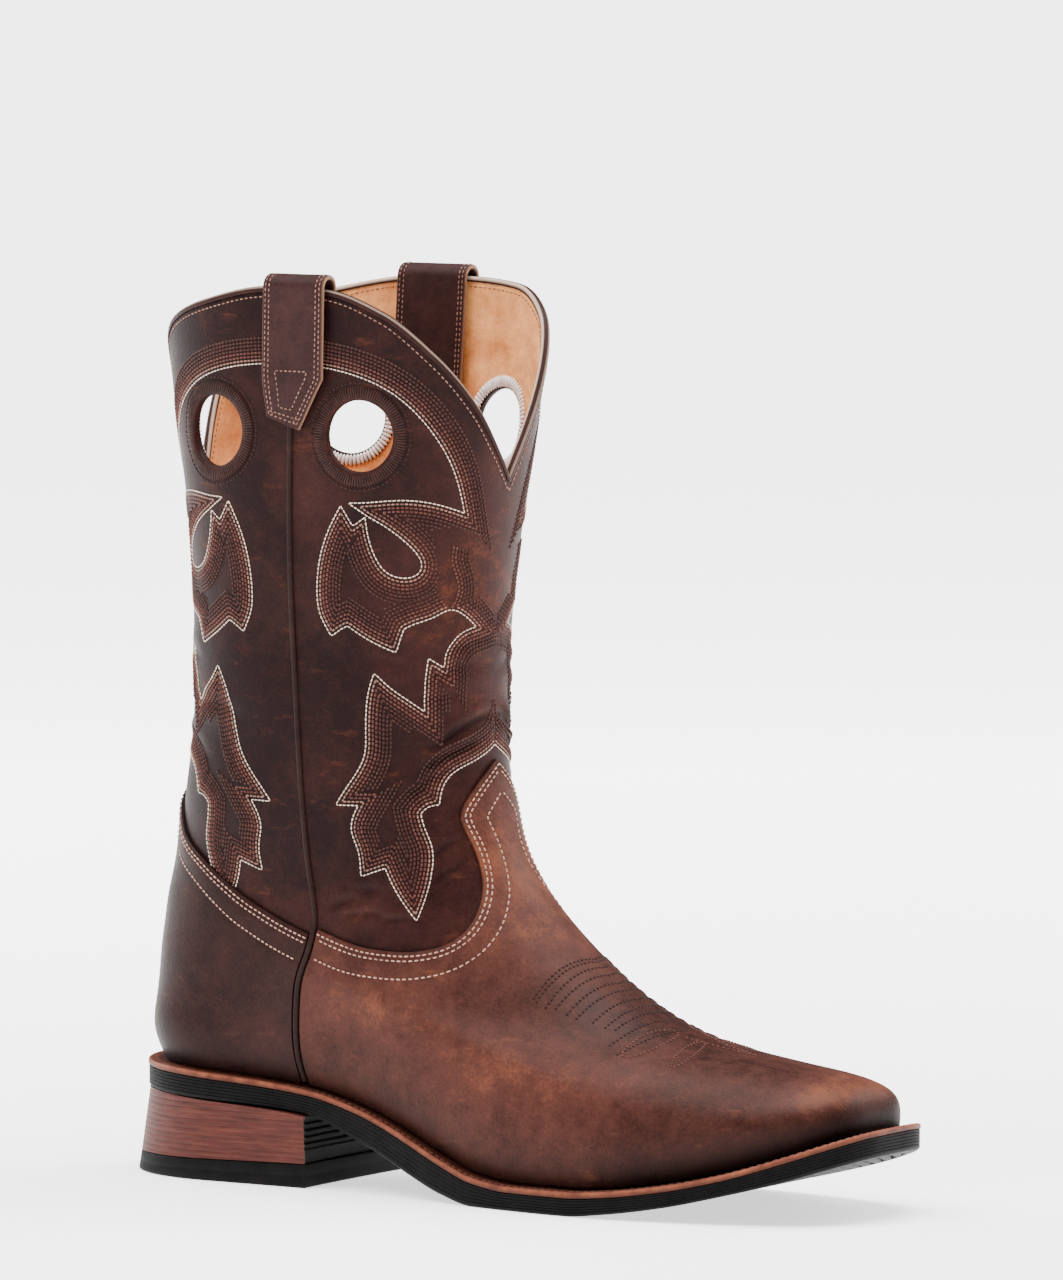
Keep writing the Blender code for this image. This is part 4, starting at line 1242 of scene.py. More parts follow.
@dataclass
class ShaftPattern:
    """Rows of stitching on the shaft: a leaf figure with a drop, a band under the collar and a hook."""

    last: Last
    shaft: Shaft
    spacing: float = 1.30
    rows: tuple[tuple[Thread, float], ...] = (
        (Thread.CREAM, 0.23), (Thread.CLAY, 0.33), (Thread.RUST, 0.40), (Thread.RUST, 0.42),
        (Thread.MAROON, 0.42), (Thread.MAROON, 0.42), (Thread.BROWN, 0.42), (Thread.BROWN, 0.40))
    figure: Outline = Outline((
        (30.6, 241.4, 1), (25.9, 238.0, 1), (21.2, 245.2, 1), (16.9, 237.7, 0), (13.1, 228.2, 0),
        (11.4, 219.5, 0), (11.0, 212.6, 0), (11.8, 206.6, 0), (13.9, 202.1, 0), (16.1, 198.5, 1),
        (19.2, 200.7, 0), (22.6, 202.5, 1), (27.5, 199.3, 0), (33.7, 195.9, 0), (39.9, 193.2, 1),
        (41.6, 198.0, 0), (43.2, 201.8, 1), (47.8, 203.7, 0), (54.0, 205.7, 0), (61.0, 208.2, 0),
        (66.5, 205.8, 0), (71.3, 201.7, 1), (64.9, 199.8, 0), (60.0, 195.7, 0), (57.3, 190.5, 0),
        (56.8, 187.5, 1), (51.2, 191.2, 1), (50.0, 185.6, 0), (49.1, 179.5, 0), (48.6, 172.2, 1),
        (42.6, 176.5, 0), (36.7, 180.9, 0), (31.5, 186.0, 1), (29.1, 179.5, 0), (27.7, 172.5, 0),
        (27.0, 163.9, 0), (26.1, 156.6, 0), (22.8, 150.3, 0), (18.6, 144.8, 0), (13.8, 138.4, 1),
        (22.7, 138.6, 1), (20.0, 133.4, 0), (19.4, 129.0, 0), (20.7, 124.6, 0), (21.7, 119.4, 0),
        (21.4, 113.2, 1), (31.3, 116.5, 1), (32.9, 112.4, 0), (35.9, 106.4, 0), (41.7, 98.2, 1),
        (45.2, 105.3, 0), (48.2, 114.7, 0), (48.7, 124.3, 0), (46.3, 131.3, 0), (45.3, 135.9, 1),
        (47.7, 138.1, 0), (52.1, 139.0, 1), (54.6, 146.7, 0), (58.5, 150.4, 0), (64.4, 153.0, 0),
        (70.6, 155.4, 0), (76.6, 158.2, 0), (81.0, 161.2, 0), (84.1, 164.4, 0), (86.4, 169.0, 0),
        (87.8, 175.0, 0),
    ))
    drop: Outline = Outline((
        (31.7, 241.6, 1), (37.2, 238.6, 0), (43.7, 233.9, 0), (48.7, 228.8, 0), (50.5, 225.2, 0),
        (49.9, 222.2, 0), (46.6, 220.1, 0), (41.8, 220.1, 0), (37.5, 222.2, 0), (34.6, 226.1, 0),
        (32.5, 231.2, 0), (31.1, 237.3, 0), (30.6, 241.4, 1),
    ))
    band: Outline = Outline((
        (0.0, 295.0, 1), (14.6, 293.9, 0), (28.1, 291.1, 0), (39.3, 286.3, 0), (48.4, 279.2, 0),
        (55.6, 270.6, 0), (60.7, 262.3, 0), (64.1, 254.1, 0), (67.0, 242.6, 1), (56.9, 245.9, 0),
        (49.1, 247.3, 0), (40.4, 247.4, 0), (31.6, 246.6, 0), (24.0, 246.3, 1), (28.4, 243.7, 0),
        (31.7, 241.6, 1),
    ))
    hook: Outline = Outline((
        (62.8, 231.3, 1), (61.9, 225.9, 0), (63.4, 220.5, 0), (64.2, 215.1, 0), (62.5, 210.9, 0),
        (60.9, 208.8, 1),
    ))
    plain_rows: int = 2
    middle_room: float = 0.006
    back_shift: float = 6.0

    def sew(self, hand: Seamstress) -> None:
        """Sews every row on the front and back panel of both sides."""
        outlines = (self.figure, self.drop, self.band, self.hook)
        everything = np.concatenate([o.sampled()[0] for o in outlines])
        for row, (thread, radius) in enumerate(self.rows):
            stitch = Stitch(pitch=1.6, length=1.45, radius=radius, proud=0.08, sides=5)
            for outline in outlines:
                first = self.plain_rows if outline is self.hook else 0
                if row < first:
                    continue
                for run in outline.beside((row - first) * self.spacing, everything):
                    ends = stitch.spaced(run)
                    mirrored = [self._behind(spots) for spots in ends]
                    for side in Side:
                        for panel in (ends, mirrored):
                            hand.cover("shaft", thread, stitch, side, panel, self.shaft.relief,
                                       self.middle_room, 0.0)

    def _behind(self, spots: Array) -> Array:
        """Panel places mirrored to behind the side seam, set further off above the ankle."""
        u, z = spots.T
        return np.column_stack([-(u + self.back_shift * ease((z - 150.0) / 55.0)), z])


@dataclass
class Piping:
    """Bead of folded leather down a side seam."""

    last: Last
    radius: float = 1.05
    low: float = 0.25
    top_z: float = 281.0
    places: int = 260
    sides: int = 12

    def build(self, bench: Bench, side: Side, leather: Material) -> None:
        """Makes the bead: a round profile along the seam, half sunk in the leather."""
        last = self.last
        top = float(last.level_of(np.array([side.value]), np.array([self.top_z]))[0])
        level = np.linspace(self.low, top, self.places)
        around = np.full(self.places, side.value)
        foot = 1.0 - ease((last.point(level, around)[:, 2] - 88.0) / 10.0)
        path = last.lift(level, around, 0.15 + 1.15 * foot)
        up = last.normal(level, around)
        along = unit(np.gradient(path, axis=0))
        across = unit(np.cross(up, along))
        turn = full_turn(self.sides)
        pinch = 1.0 + 0.03 * np.sin(np.arange(self.places) * 1.7)
        wide = (self.radius * pinch)[:, None, None]
        ring = across[:, None] * np.cos(turn)[:, None] * wide + up[:, None] * np.sin(turn)[:, None] * wide
        skin = swept(path[:, None] + ring, capped=True)
        skin.hold(burnish=0.25, shade=0.0, edge=0.0)
        name = f"side_piping_{side.name.lower()}"
        bench.add(f"boot_{name}", skin, [leather], [name], "edge_leather")


@dataclass
class Binding:
    """Narrow leather edge folded over the collar, with one row of stitches under it."""

    last: Last
    columns: int = 560
    thick: float = 0.45
    depth: float = 1.2
    crown: float = 0.85
    row_below: float = 2.9

    def _stretch(self, around: Array) -> tuple[Array, Array]:
        """Height of the edge and how much longer a drop is where the edge is steep."""
        z = collar_height(around)
        level = self.last.level_of(around, z)
        point = self.last.point(level, around)
        step = np.roll(point, -1, axis=0) - np.roll(point, 1, axis=0)
        steep = np.abs(step[:, 2]) / np.linalg.norm(step, axis=1)
        return z, 1.0 / np.sqrt(1.0 - np.minimum(steep, 0.92) ** 2)

    def build(self, bench: Bench, leather: Material) -> None:
        """Makes the edge: a hook-shaped profile carried along the collar."""
        around = np.linspace(-2.0, 2.0, self.columns + 1)[:-1]
        z, stretch = self._stretch(around)
        turn = np.linspace(0.0, np.pi, 9)
        half = WALL / 2 + self.thick
        profile = [(0.02, -self.depth), (self.thick * 0.8, -self.depth), (self.thick, -self.depth + 0.5)]
        profile += [(half * np.cos(t) - WALL / 2, self.crown * np.sin(t)) for t in turn]
        profile += [(-WALL - self.thick, -self.depth + 0.5), (-WALL - self.thick * 0.8, -self.depth),
                    (-WALL - 0.02, -self.depth), (-WALL - 0.02, 0.15), (0.02, 0.15)]
        loops = []
        for sideways, height in profile:
            level = self.last.level_of(around, z + height * stretch)
            loops.append(self.last.lift(level, around, sideways))
        sections = np.stack(loops, axis=1)
        skin = swept(sections[::-1])
        light = np.zeros(len(profile))
        # edge values: a painted highlight along the outer part of the crown (4:6), and the pale cut edge down
        # the inner side (9:12)
        light[4:6] = 0.30
        light[9:12] = 0.85
        skin.hold(burnish=0.30, shade=0.0, edge=np.tile(light, self.columns))
        bench.add("boot_collar_binding", skin, [leather], ["collar_binding"], "edge_leather", sharp=60.0)

    def sew(self, hand: Seamstress) -> None:
        """Sews the row under the edge, outside and inside."""
        around = np.linspace(-2.0, 2.0, self.columns + 1)
        z, stretch = self._stretch(around[:-1])
        height = np.append(z, z[0]) - self.row_below * np.append(stretch, stretch[0])
        level = self.last.level_of(around, height)
        stitch = Stitch(pitch=2.1, length=1.5, radius=0.23, proud=0.10)
        for lift, flip, thread in ((0.0, 1.0, Thread.CLAY), (-WALL, -1.0, Thread.TAN)):
            path = self.last.lift(level, around, lift)
            hand.trace("collar", thread, stitch, path, self.last.normal(level, around) * flip)


@dataclass
class PullStrap:
    """Strap over the collar: outer leg with a tapered slanting end, loop, and inner leg."""

    last: Last
    side: Side
    half: float
    ahead: float
    thick: float = 1.9
    tip_half: float = 6.8
    tip_back: float = 4.2
    tip_lean: float = 2.3
    tip_z: float = 274.0
    taper_z: float = 290.0
    inside_z: float = 280.0
    loop_z: float = 322.0
    centre_off: float = 2.75
    across_count: int = 40
    row_insets: tuple[float, float] = (1.5, 3.0)

    def __post_init__(self) -> None:
        """Takes the rows down the strap: height, distance outside the wall and closeness to the tip."""
        radius = self.centre_off + WALL / 2
        turn = np.linspace(0.0, np.pi, 26)
        up = np.linspace(self.tip_z, self.loop_z, 46)[:-1]
        down = np.linspace(self.loop_z, self.inside_z, 30)[1:]
        self.z = np.concatenate([up, self.loop_z + radius * np.sin(turn), down])
        leg = np.full(len(up), self.centre_off) - 1.0 * bell((up - self.tip_z) / 9.0)
        self.off = np.concatenate([leg, radius * np.cos(turn) - WALL / 2,
                                   np.full(len(down), -WALL - self.centre_off)])
        tip = np.clip((self.taper_z - up) / (self.taper_z - self.tip_z), 0.0, 1.0)
        self.tip = np.concatenate([tip, np.zeros(len(turn) + len(down))])
        self.outer_rows = len(up)

    def spot(self, across: Array, rows: Array) -> tuple[Array, Array, Array]:
        """Panel place u, z and distance outside the wall at shares across and places along.

        Args:
            across: Shares across the strap, -1 at its back edge to 1 at its front edge.
            rows: Places along the strap, in rows.

        Returns:
            u = across * half + shift, z with the slant of the tip, and the distance.
        """
        number = np.arange(len(self.z))
        tip = np.interp(rows, number, self.tip)
        wide = self.half + (self.tip_half - self.half) * tip
        u = across * wide + self.ahead - self.tip_back * tip
        z = np.interp(rows, number, self.z) - self.tip_lean * across * tip
        return u, z, np.interp(rows, number, self.off)

    def points(self, across: Array, rows: Array) -> Array:
        """Middle points of the strap."""
        return self.last.on_panel(self.side, *self.spot(across, rows))[0]

    def normals(self, across: Array, rows: Array) -> Array:
        """Unit normals on the strap's visible face, from steps across and along it."""
        by_across = self.points(across + 0.02, rows) - self.points(across - 0.02, rows)
        last_row = len(self.z) - 1.0
        by_rows = (self.points(across, np.minimum(rows + 0.3, last_row))
                   - self.points(across, np.maximum(rows - 0.3, 0.0)))
        return unit(np.cross(by_across, by_rows)) * -self.side.value

    def build(self, bench: Bench, leather: Material) -> None:
        """Makes the strap: a flat profile with half-round edges along the path."""
        half_turn = np.linspace(-np.pi / 2, np.pi / 2, self.across_count)
        across = np.sin(half_turn) * 0.5 + np.linspace(-1, 1, self.across_count) * 0.5
        rows, shares = np.meshgrid(np.arange(len(self.z)), across, indexing="ij")
        points = self.points(shares, rows)
        normal = self.normals(shares, rows)
        rim = self.thick / 2 / self.half
        round_off = np.sqrt(1.0 - np.clip((np.abs(across) - 1.0 + rim) / rim, 0.0, 1.0) ** 2)
        edge_place = (1.0 - np.abs(across)) * self.half
        dip = sum(0.14 * bell((edge_place - d) / 0.6) for d in self.row_insets)
        top = points + normal * (self.thick / 2 * round_off - dip)[None, :, None]
        low = points - normal * (self.thick / 2 * round_off)[None, :, None]
        sections = np.concatenate([top, low[:, -2:0:-1]], axis=1)
        if self.side is Side.OUTER:
            sections = sections[:, ::-1]
        skin = swept(sections, capped=True)
        raw = np.concatenate([1.0 - round_off, (1.0 - round_off)[-2:0:-1]])
        raw = raw[::-1] if self.side is Side.OUTER else raw
        edge = np.ones(len(skin.points))
        edge[:sections.shape[0] * sections.shape[1]] = np.tile(raw, sections.shape[0])
        skin.hold(burnish=0.22, shade=0.0, edge=np.clip(edge, 0, 1))
        name = f"pull_strap_{self.side.name.lower()}"
        bench.add(f"boot_{name}", skin, [leather], [name], "strap_leather", sharp=60.0)

    def sew(self, hand: Seamstress) -> None:
        """Sews two rows along each edge and across the tip, and a pointed box near the end."""
        rows = np.linspace(1.0, len(self.z) - 2.0, 240)
        tip = np.interp(rows, np.arange(len(self.z)), self.tip)
        wide = self.half + (self.tip_half - self.half) * tip
        for number, inset in enumerate(self.row_insets):
            for sign in (-1.0, 1.0):
                self._lay(hand, sign * (wide - inset) / wide, rows)
            across = np.linspace(-0.8, 0.8, 40)
            self._lay(hand, across, np.full(40, 1.4 + 1.4 * number))
        corner = np.array(((-0.55, 17.5), (0.5, 17.5), (0.3, 5.0), (-0.3, 5.0), (-0.55, 17.5)))
        at = np.linspace(0.0, 4.0, 160)
        self._lay(hand, np.interp(at, np.arange(5), corner[:, 0]), np.interp(at, np.arange(5), corner[:, 1]))

    def _lay(self, hand: Seamstress, across: Array, rows: Array) -> None:
        """Lays stitches on the strap's visible face along shares across and places along."""
        stitch = Stitch(pitch=1.9, length=1.35, radius=0.22, proud=0.10)
        out = self.normals(across, rows)
        path = self.points(across, rows) + out * (self.thick / 2 - 0.1)
        hand.trace("strap", Thread.CLAY, stitch, path, out)


@dataclass
class HoleRim:
    """Stitched rim of a pull hole: a flat leather ring outside and a bound edge inside."""

    last: Last
    side: Side
    u: float
    z: float
    radius: float = HOLE_RADIUS
    ring: float = 4.6
    turns: int = 120

    def spots(self, turn: Array, far: Array, height: Array) -> tuple[Array, Array]:
        """Points and normals at angles, distances from the hole's middle and heights."""
        return self.last.on_panel(self.side, self.u + np.cos(turn) * far, self.z + np.sin(turn) * far, height)

    def build(self, bench: Bench, hand: Seamstress, index: int, leather: Material) -> None:
        """Makes the rim: a closed profile of (radius, height) points turned about the hole."""
        r = self.radius
        profile = np.array([
            (r + self.ring, 0.02), (r + self.ring - 0.3, 0.32), (r + self.ring - 0.9, 0.42), (r + 1.2, 0.45),
            (r + 0.3, 0.40), (r - 0.3, 0.1), (r - 0.45, -0.4), (r - 0.45, -WALL + 0.3),
            (r - 0.2, -WALL - 0.3), (r + 0.8, -WALL - 0.5), (r + 3.6, -WALL - 0.4), (r + 4.0, -WALL + 0.05)])
        sections = self.spots(full_turn(self.turns)[:, None], profile[:, 0], profile[:, 1])[0]
        skin = swept(sections if self.side is Side.OUTER else sections[::-1])
        worn = np.tile(0.16 + 0.14 * bell(profile[:, 0] - r - 1.0), self.turns)
        skin.hold(burnish=worn, shade=0.0, edge=0.0)
        bench.add(f"boot_hole_rim_{index}", skin, [leather], slot="shaft_leather", sharp=60.0)
        self._radial(hand, Thread.DARK, (r + 0.2, r + self.ring + 0.3), 0.42, 1.0, 104, 0.34)
        self._radial(hand, Thread.WHITE, (r - 0.2, r + 4.6), -WALL - 0.45, -1.0, 66, 0.68)
        stitch = Stitch(pitch=1.8, length=1.4, radius=0.28, proud=0.08)
        circle = self.spots(np.linspace(0.0, 2 * np.pi, 181), r + self.ring + 1.3, 0.0)
        hand.trace("hole", Thread.DARK, stitch, *circle)

    def _radial(self, hand: Seamstress, thread: Thread, reach: tuple[float, float], lift: float,
                face: float, count: int, radius: float) -> None:
        """Sews stitches that point at the hole's middle."""
        near, far = (self.spots(full_turn(count), distance, lift) for distance in reach)
        stitch = Stitch(radius=radius, proud=0.06)
        hand.lay("hole", thread, stitch.sew(near[0], far[0], far[1] * face))


@dataclass
class Bottom:
    """Welt, insole and outsole, drawn from the feather line."""

    last: Last
    columns: int = 640
    welt_thick: float = 2.2
    tread_rows: int = 40
    bar_pitch: float = 4.4
    bar_lean: float = 0.5
    bar_steps: int = 28
    tread_start: float = 170.0
    bar_profile: tuple[tuple[float, float], ...] = (
        (-0.95, 0.1), (0.95, 0.1), (1.05, 0.2), (1.2, 1.6), (-1.2, 1.6), (-1.05, 0.2))
    tread_border: float = 4.0
    tread_wall: float = 1.2
    tread_depth: float = 1.2
    tread_end: float = 330.0
    sewn_to: float = 1.08
    reach: tuple[tuple[float, float], ...] = (
        (0.0, 9.2), (0.35, 9.2), (0.7, 8.1), (1.0, 7.2), (1.5, 7.4), (2.0, 9.0))

    def __post_init__(self) -> None:
        """Takes the feather line, its outward directions and the welt's reach."""
        half = np.linspace(0.0, 2.0, self.columns // 2 + 1)
        half = half * (0.72 + 0.14 * half)
        self.around = np.concatenate([-half, half[-2:0:-1]])
        feather = self.last.read(self.last.points, np.zeros(self.columns), self.around)
        step = np.roll(feather, 1, axis=0) - np.roll(feather, -1, axis=0)
        out = unit(np.stack([step[:, 1], -step[:, 0]], axis=1))
        for _ in range(2):
            out = unit(np.roll(out, 1, axis=0) + 2 * out + np.roll(out, -1, axis=0))
        self.feather = feather
        self.out = out
        table = np.array(self.reach)
        self.edge = monotone(table[:, 0], table[:, 1], np.abs(self.around))

    def middle_y(self) -> float:
        """Middle of the welt's outline across the foot."""
        y = self.loop(self.edge, seat)[:, 1]
        return float(y.max() + y.min()) / 2

    def loop(self, distance: Array, height: Callable[[Array], Array]) -> Array:
        """Loop at a distance outside the feather line, at a height that depends on x."""
        xy = self.feather[:, :2] + self.out * np.broadcast_to(distance, self.edge.shape)[:, None]
        return np.column_stack([xy, height(xy[:, 0])])

    def welt(self, bench: Bench, hand: Seamstress, leather: Material) -> None:
        """Makes the welt: a strip profile round the feather line, with a stitched channel on top."""
        edge, thick = self.edge, self.welt_thick
        profile = [(-3.2, -thick), (edge - 0.5, -thick), (edge - 0.1, -thick + 0.3), (edge, -thick + 0.8),
                   (edge, -0.9), (edge - 0.15, -0.4), (edge - 0.6, -0.05), (edge - 1.4, 0.0),
                   (edge - 2.0, -0.25), (edge - 2.6, -0.3), (edge - 3.2, 0.0), (edge - 4.2, 0.12),
                   (-3.2, 0.0)]
        sections = np.stack([self.loop(d, lambda x, h=h: seat(x) + h) for d, h in profile], axis=1)
        skin = swept(sections)
        # shade: painted shadow on the welt's top, deepening toward the upper; the underside and lower corner
        # are darker too
        gap = np.tile(np.array([1.0] * 3 + [0.7] + [0.0] * 3 + [0.2, 0.4, 0.6, 0.8, 1.0, 1.0]), self.columns)
        skin.hold(shade=0.8 * gap)
        bench.add("boot_welt", skin, [leather], ["welt"], "welt_leather", sharp=50.0)
        stitch = Stitch(pitch=3.0, length=2.7, radius=0.42, proud=0.02)
        sewn = np.abs(self.around) < self.sewn_to
        turn = np.argsort(self.around[sewn])
        path = self.loop(edge - 2.3, lambda x: seat(x) - 0.1)[sewn][turn]
        hand.trace("welt", Thread.RUST, stitch, path, np.broadcast_to((0.0, 0.0, 1.0), path.shape))

    def closed(self, loops: Sequence[Array], inward: int) -> Skin:
        """Solid from stacked loops, bottom first, whose first and last loop shrink to the spine."""
        spine = lambda loop: (loop + np.roll(loop[::-1], 1, axis=0)) / 2
        shrink = np.linspace(0.0, 1.0, inward + 1)[:-1]
        low = [spine(loops[0]) + (loops[0] - spine(loops[0])) * s for s in shrink]
        high = [spine(loops[-1]) + (loops[-1] - spine(loops[-1])) * s for s in shrink[::-1]]
        rows = np.stack(low + list(loops) + high)
        return Skin(rows.reshape(-1, 3), [grid_faces(len(rows), self.columns, True)[:, ::-1]])

    def insole(self, bench: Bench, leather: Material) -> None:
        """Makes the footbed: a board with a soft rounded edge."""
        loops = [self.loop(-3.5, lambda x: seat(x) - 1.9), self.loop(-3.5, lambda x: seat(x) + 0.7),
                 self.loop(-3.9, lambda x: seat(x) + 1.1), self.loop(-4.8, lambda x: seat(x) + 1.2)]
        skin = self.closed(loops, 14)
        skin.hold(shade=0.0)
        bench.add("boot_insole", skin, [leather], ["insole"], "insole_leather", sharp=60.0, merge=0.02)

    def outsole(self, bench: Bench, rubber: Material, tread: Material) -> None:
        """Makes the sole: a ribbed edge, and under the forefoot a shallow field filled with tread bars."""
        top = lambda x: seat(x) - self.welt_thick - FIT_GAP
        at = lambda share: (lambda x: under(x) + share * (top(x) - under(x)))
        side = self.edge - 0.3
        loops = [self.loop(side - 1.0, at(0.0)), self.loop(side - 0.35, at(0.05)), self.loop(side, at(0.13))]
        for groove in np.linspace(0.24, 0.88, 5):
            loops += [self.loop(side, at(groove - 0.03)), self.loop(side - 0.24, at(groove)),
                      self.loop(side, at(groove + 0.03))]
        loops.append(self.loop(side, at(1.0)))
        skin = self.closed(loops, self.tread_rows)
        x, y, z = skin.points.T
        count = self.tread_rows * self.columns
        low = np.arange(len(x)) < count
        inner = np.zeros(len(x))
        far = gap_to(loops[0][:, :2], skin.points[:count, :2])
        inner[:count] = ease((far - self.tread_border) / self.tread_wall)
        start = x + self.bar_lean * y - self.tread_start
        recess = inner * ease(start / 2.0)
        border = low & (recess < 0.5) & (start > 0.0)
        skin.points[:, 2] = z + self.tread_depth * recess
        # shade: painted shade in the recessed field between the tread bars
        skin.hold(shade=0.9 * recess)
        # the forefoot border and the bars take the light grey tread material, a painted reflection of the
        # floor
        skin.slots = [border[skin.faces[0]].all(axis=1).astype(int)]
        rim = self.loop(side - 1.0 - self.tread_border - 0.6, at(0.0))
        sole = Skin.join([skin, self._bars(rim[:, :2])])
        bench.add("boot_outsole", sole, [rubber, tread], ["outsole"], "sole_rubber", sharp=35.0, merge=0.02)

    def _bars(self, rim: Array) -> Skin:
        """Tread bars across the forefoot, on the slanting lines x + lean * y = c.

        Args:
            rim: Outline (n, 2) that the bars end at.

        Returns:
            Their skin, in the second material.
        """
        lines = np.arange(self.tread_start + 3.4, self.tread_end, self.bar_pitch)[:, None]
        y = np.linspace(-60.0, 60.0, 601)
        x = lines - self.bar_lean * y
        held = inside(rim, x, np.broadcast_to(y, x.shape))
        keep = held.sum(axis=1) > 15
        low = y[np.argmax(held, axis=1)][keep, None]
        high = y[::-1][np.argmax(held[:, ::-1], axis=1)][keep, None]
        along = (low + (high - low) * np.linspace(0.0, 1.0, self.bar_steps))[..., None]
        across, rise = np.array(self.bar_profile).T
        wide = across / np.hypot(1.0, self.bar_lean)
        place_x = lines[keep][..., None] - self.bar_lean * along + wide
        place_y = along + self.bar_lean * wide
        place_z = under(place_x) + rise
        sections = np.stack([place_x, place_y, place_z], axis=-1)
        skin = Skin.join([swept(section, capped=True) for section in sections])
        depth = skin.points[:, 2] - under(skin.points[:, 0])
        # shade: painted shade on the bars' sides and roots, up toward the recessed field
        skin.hold(shade=0.95 * ease((depth - 0.12) / 0.3))
        skin.slots = [np.ones(len(faces), dtype=int) for faces in skin.faces]
        return skin


@dataclass
class Heel:
    """Stacked heel with a rubber cap and a ridged breast."""

    top_back: float = 5.5
    top_breast: float = 88.0
    top_half: float = 36.0
    foot_back: float = 0.0
    foot_breast: float = 88.0
    foot_half: float = 35.0
    bow: float = 0.8
    rounding: float = 44.0
    top_z: float = 30.0
    cap_back: float = 7.0
    cap_front: float = 8.6
    bend_count: int = 60
    side_count: int = 24
    breast_count: int = 30
    low_share: float = 0.73
    layer_rows: int = 96
    layer_pitch: float = 1.9
    ridge_pitch: float = 2.4

    def loop(self, share: float, inset: float = 0.0) -> Array:
        """Outline (x, y) at a share of the way down: round back, straight sides, bowed breast."""
        back = self.top_back + (self.foot_back - self.top_back) * share + inset
        breast = self.top_breast + (self.foot_breast - self.top_breast) * share - inset
        wide = self.top_half + (self.foot_half - self.top_half) * share - inset
        bend = np.radians(np.linspace(0.0, 90.0, self.bend_count))[1:]
        x = back + self.rounding * (1.0 - np.cos(bend))
        y = wide * np.sin(bend) ** 0.9
        x = np.concatenate([x, np.linspace(x[-1], breast, self.side_count)[1:]])
        y = np.concatenate([y, np.full(self.side_count - 1, wide)])
        front_y = np.linspace(wide, 0.0, self.breast_count)[1:-1]
        x = np.concatenate([x, breast - self.bow * (1.0 - (front_y / wide) ** 2)])
        y = np.concatenate([y, front_y])
        x = np.concatenate([[back], x, [breast - self.bow], x[::-1]])
        y = np.concatenate([[0.0], -y, [0.0], y[::-1]])
        return np.column_stack([x, y])

    def cap_top(self, x: Array) -> Array:
        """Height of the rubber cap's top."""
        return self.cap_back + (self.cap_front - self.cap_back) * x / self.foot_breast

    def _solid(self, rows: list[Array]) -> Skin:
        """Closed skin from stacked loops, both ends drawn in to their middle."""
        middle = lambda row: np.column_stack([row[:, 0], 0.0 * row[:, 1], row[:, 2]])
        full = np.stack([middle(rows[0])] + rows + [middle(rows[-1])])
        count = full.shape[1]
        return Skin(full.reshape(-1, 3), [grid_faces(len(full), count, True)[:, ::-1]])

    def stack(self, bench: Bench, leather: Material, rubber: Material) -> None:
        """Makes the stack: thin layers with fine seams on its sides, ridges on its black breast."""
        start = self.bend_count + self.side_count - 1
        breast = np.zeros(len(self.loop(0.0)), bool)
        breast[start:start + 2 * self.breast_count - 3] = True
        rows = []
        for share in np.linspace(0.0, 1.0, self.layer_rows):
            outline = self.loop(self.low_share * (1.0 - share))
            x, y = outline.T
            bottom = self.cap_top(x) + FIT_GAP
            top = under(x) - FIT_GAP
            z = bottom + (top - bottom) * share
            layer = 0.12 * bell((((z - 8.0) / self.layer_pitch) % 1.0 - 0.5) / 0.13)
            ridge = 0.4 - 0.8 * bell(((z / self.ridge_pitch) % 1.0 - 0.5) / 0.17)
            ridge = ridge * ease((z - 13.0) / 1.5)
            towards = unit(np.column_stack([x - 46.0, y]))
            moved = outline - towards * np.where(breast, 0.0, layer)[:, None]
            moved[:, 0] = moved[:, 0] - np.where(breast, 0.5 + ridge, 0.0) * ease((25.5 - z) / 2.0)
            rows.append(np.column_stack([moved, z]))
        skin = self._solid(rows)
        face_breast = breast & np.roll(breast, -1)
        skin.slots = [np.tile(face_breast.astype(int), self.layer_rows + 1)]
        skin.hold(shade=0.0)
        bench.add("boot_heel_stack", skin, [leather, rubber], ["heel_stack"], "heel_leather",
                  sharp=40.0, merge=0.02)

    def cap(self, bench: Bench, rubber: Material) -> None:
        """Makes the rubber cap with a rounded foot and a thin seam line."""
        share = 1.0 - 0.5 * (self.cap_back + self.cap_front) / self.top_z
        rows = []
        for part, inset in ((0.0, 1.2), (0.0, 0.9), (0.04, 0.3), (0.10, 0.0), (0.45, 0.0), (0.50, 0.12),
                            (0.55, 0.0), (0.94, 0.0), (1.0, 0.25)):
            outline = self.loop(1.0 + (share - 1.0) * part, inset)
            rows.append(np.column_stack([outline, self.cap_top(outline[:, 0]) * part]))
        skin = self._solid(rows)
        skin.hold(shade=0.0)
        bench.add("boot_heel_cap", skin, [rubber], ["heel_cap"], "cap_rubber", sharp=40.0, merge=0.02)


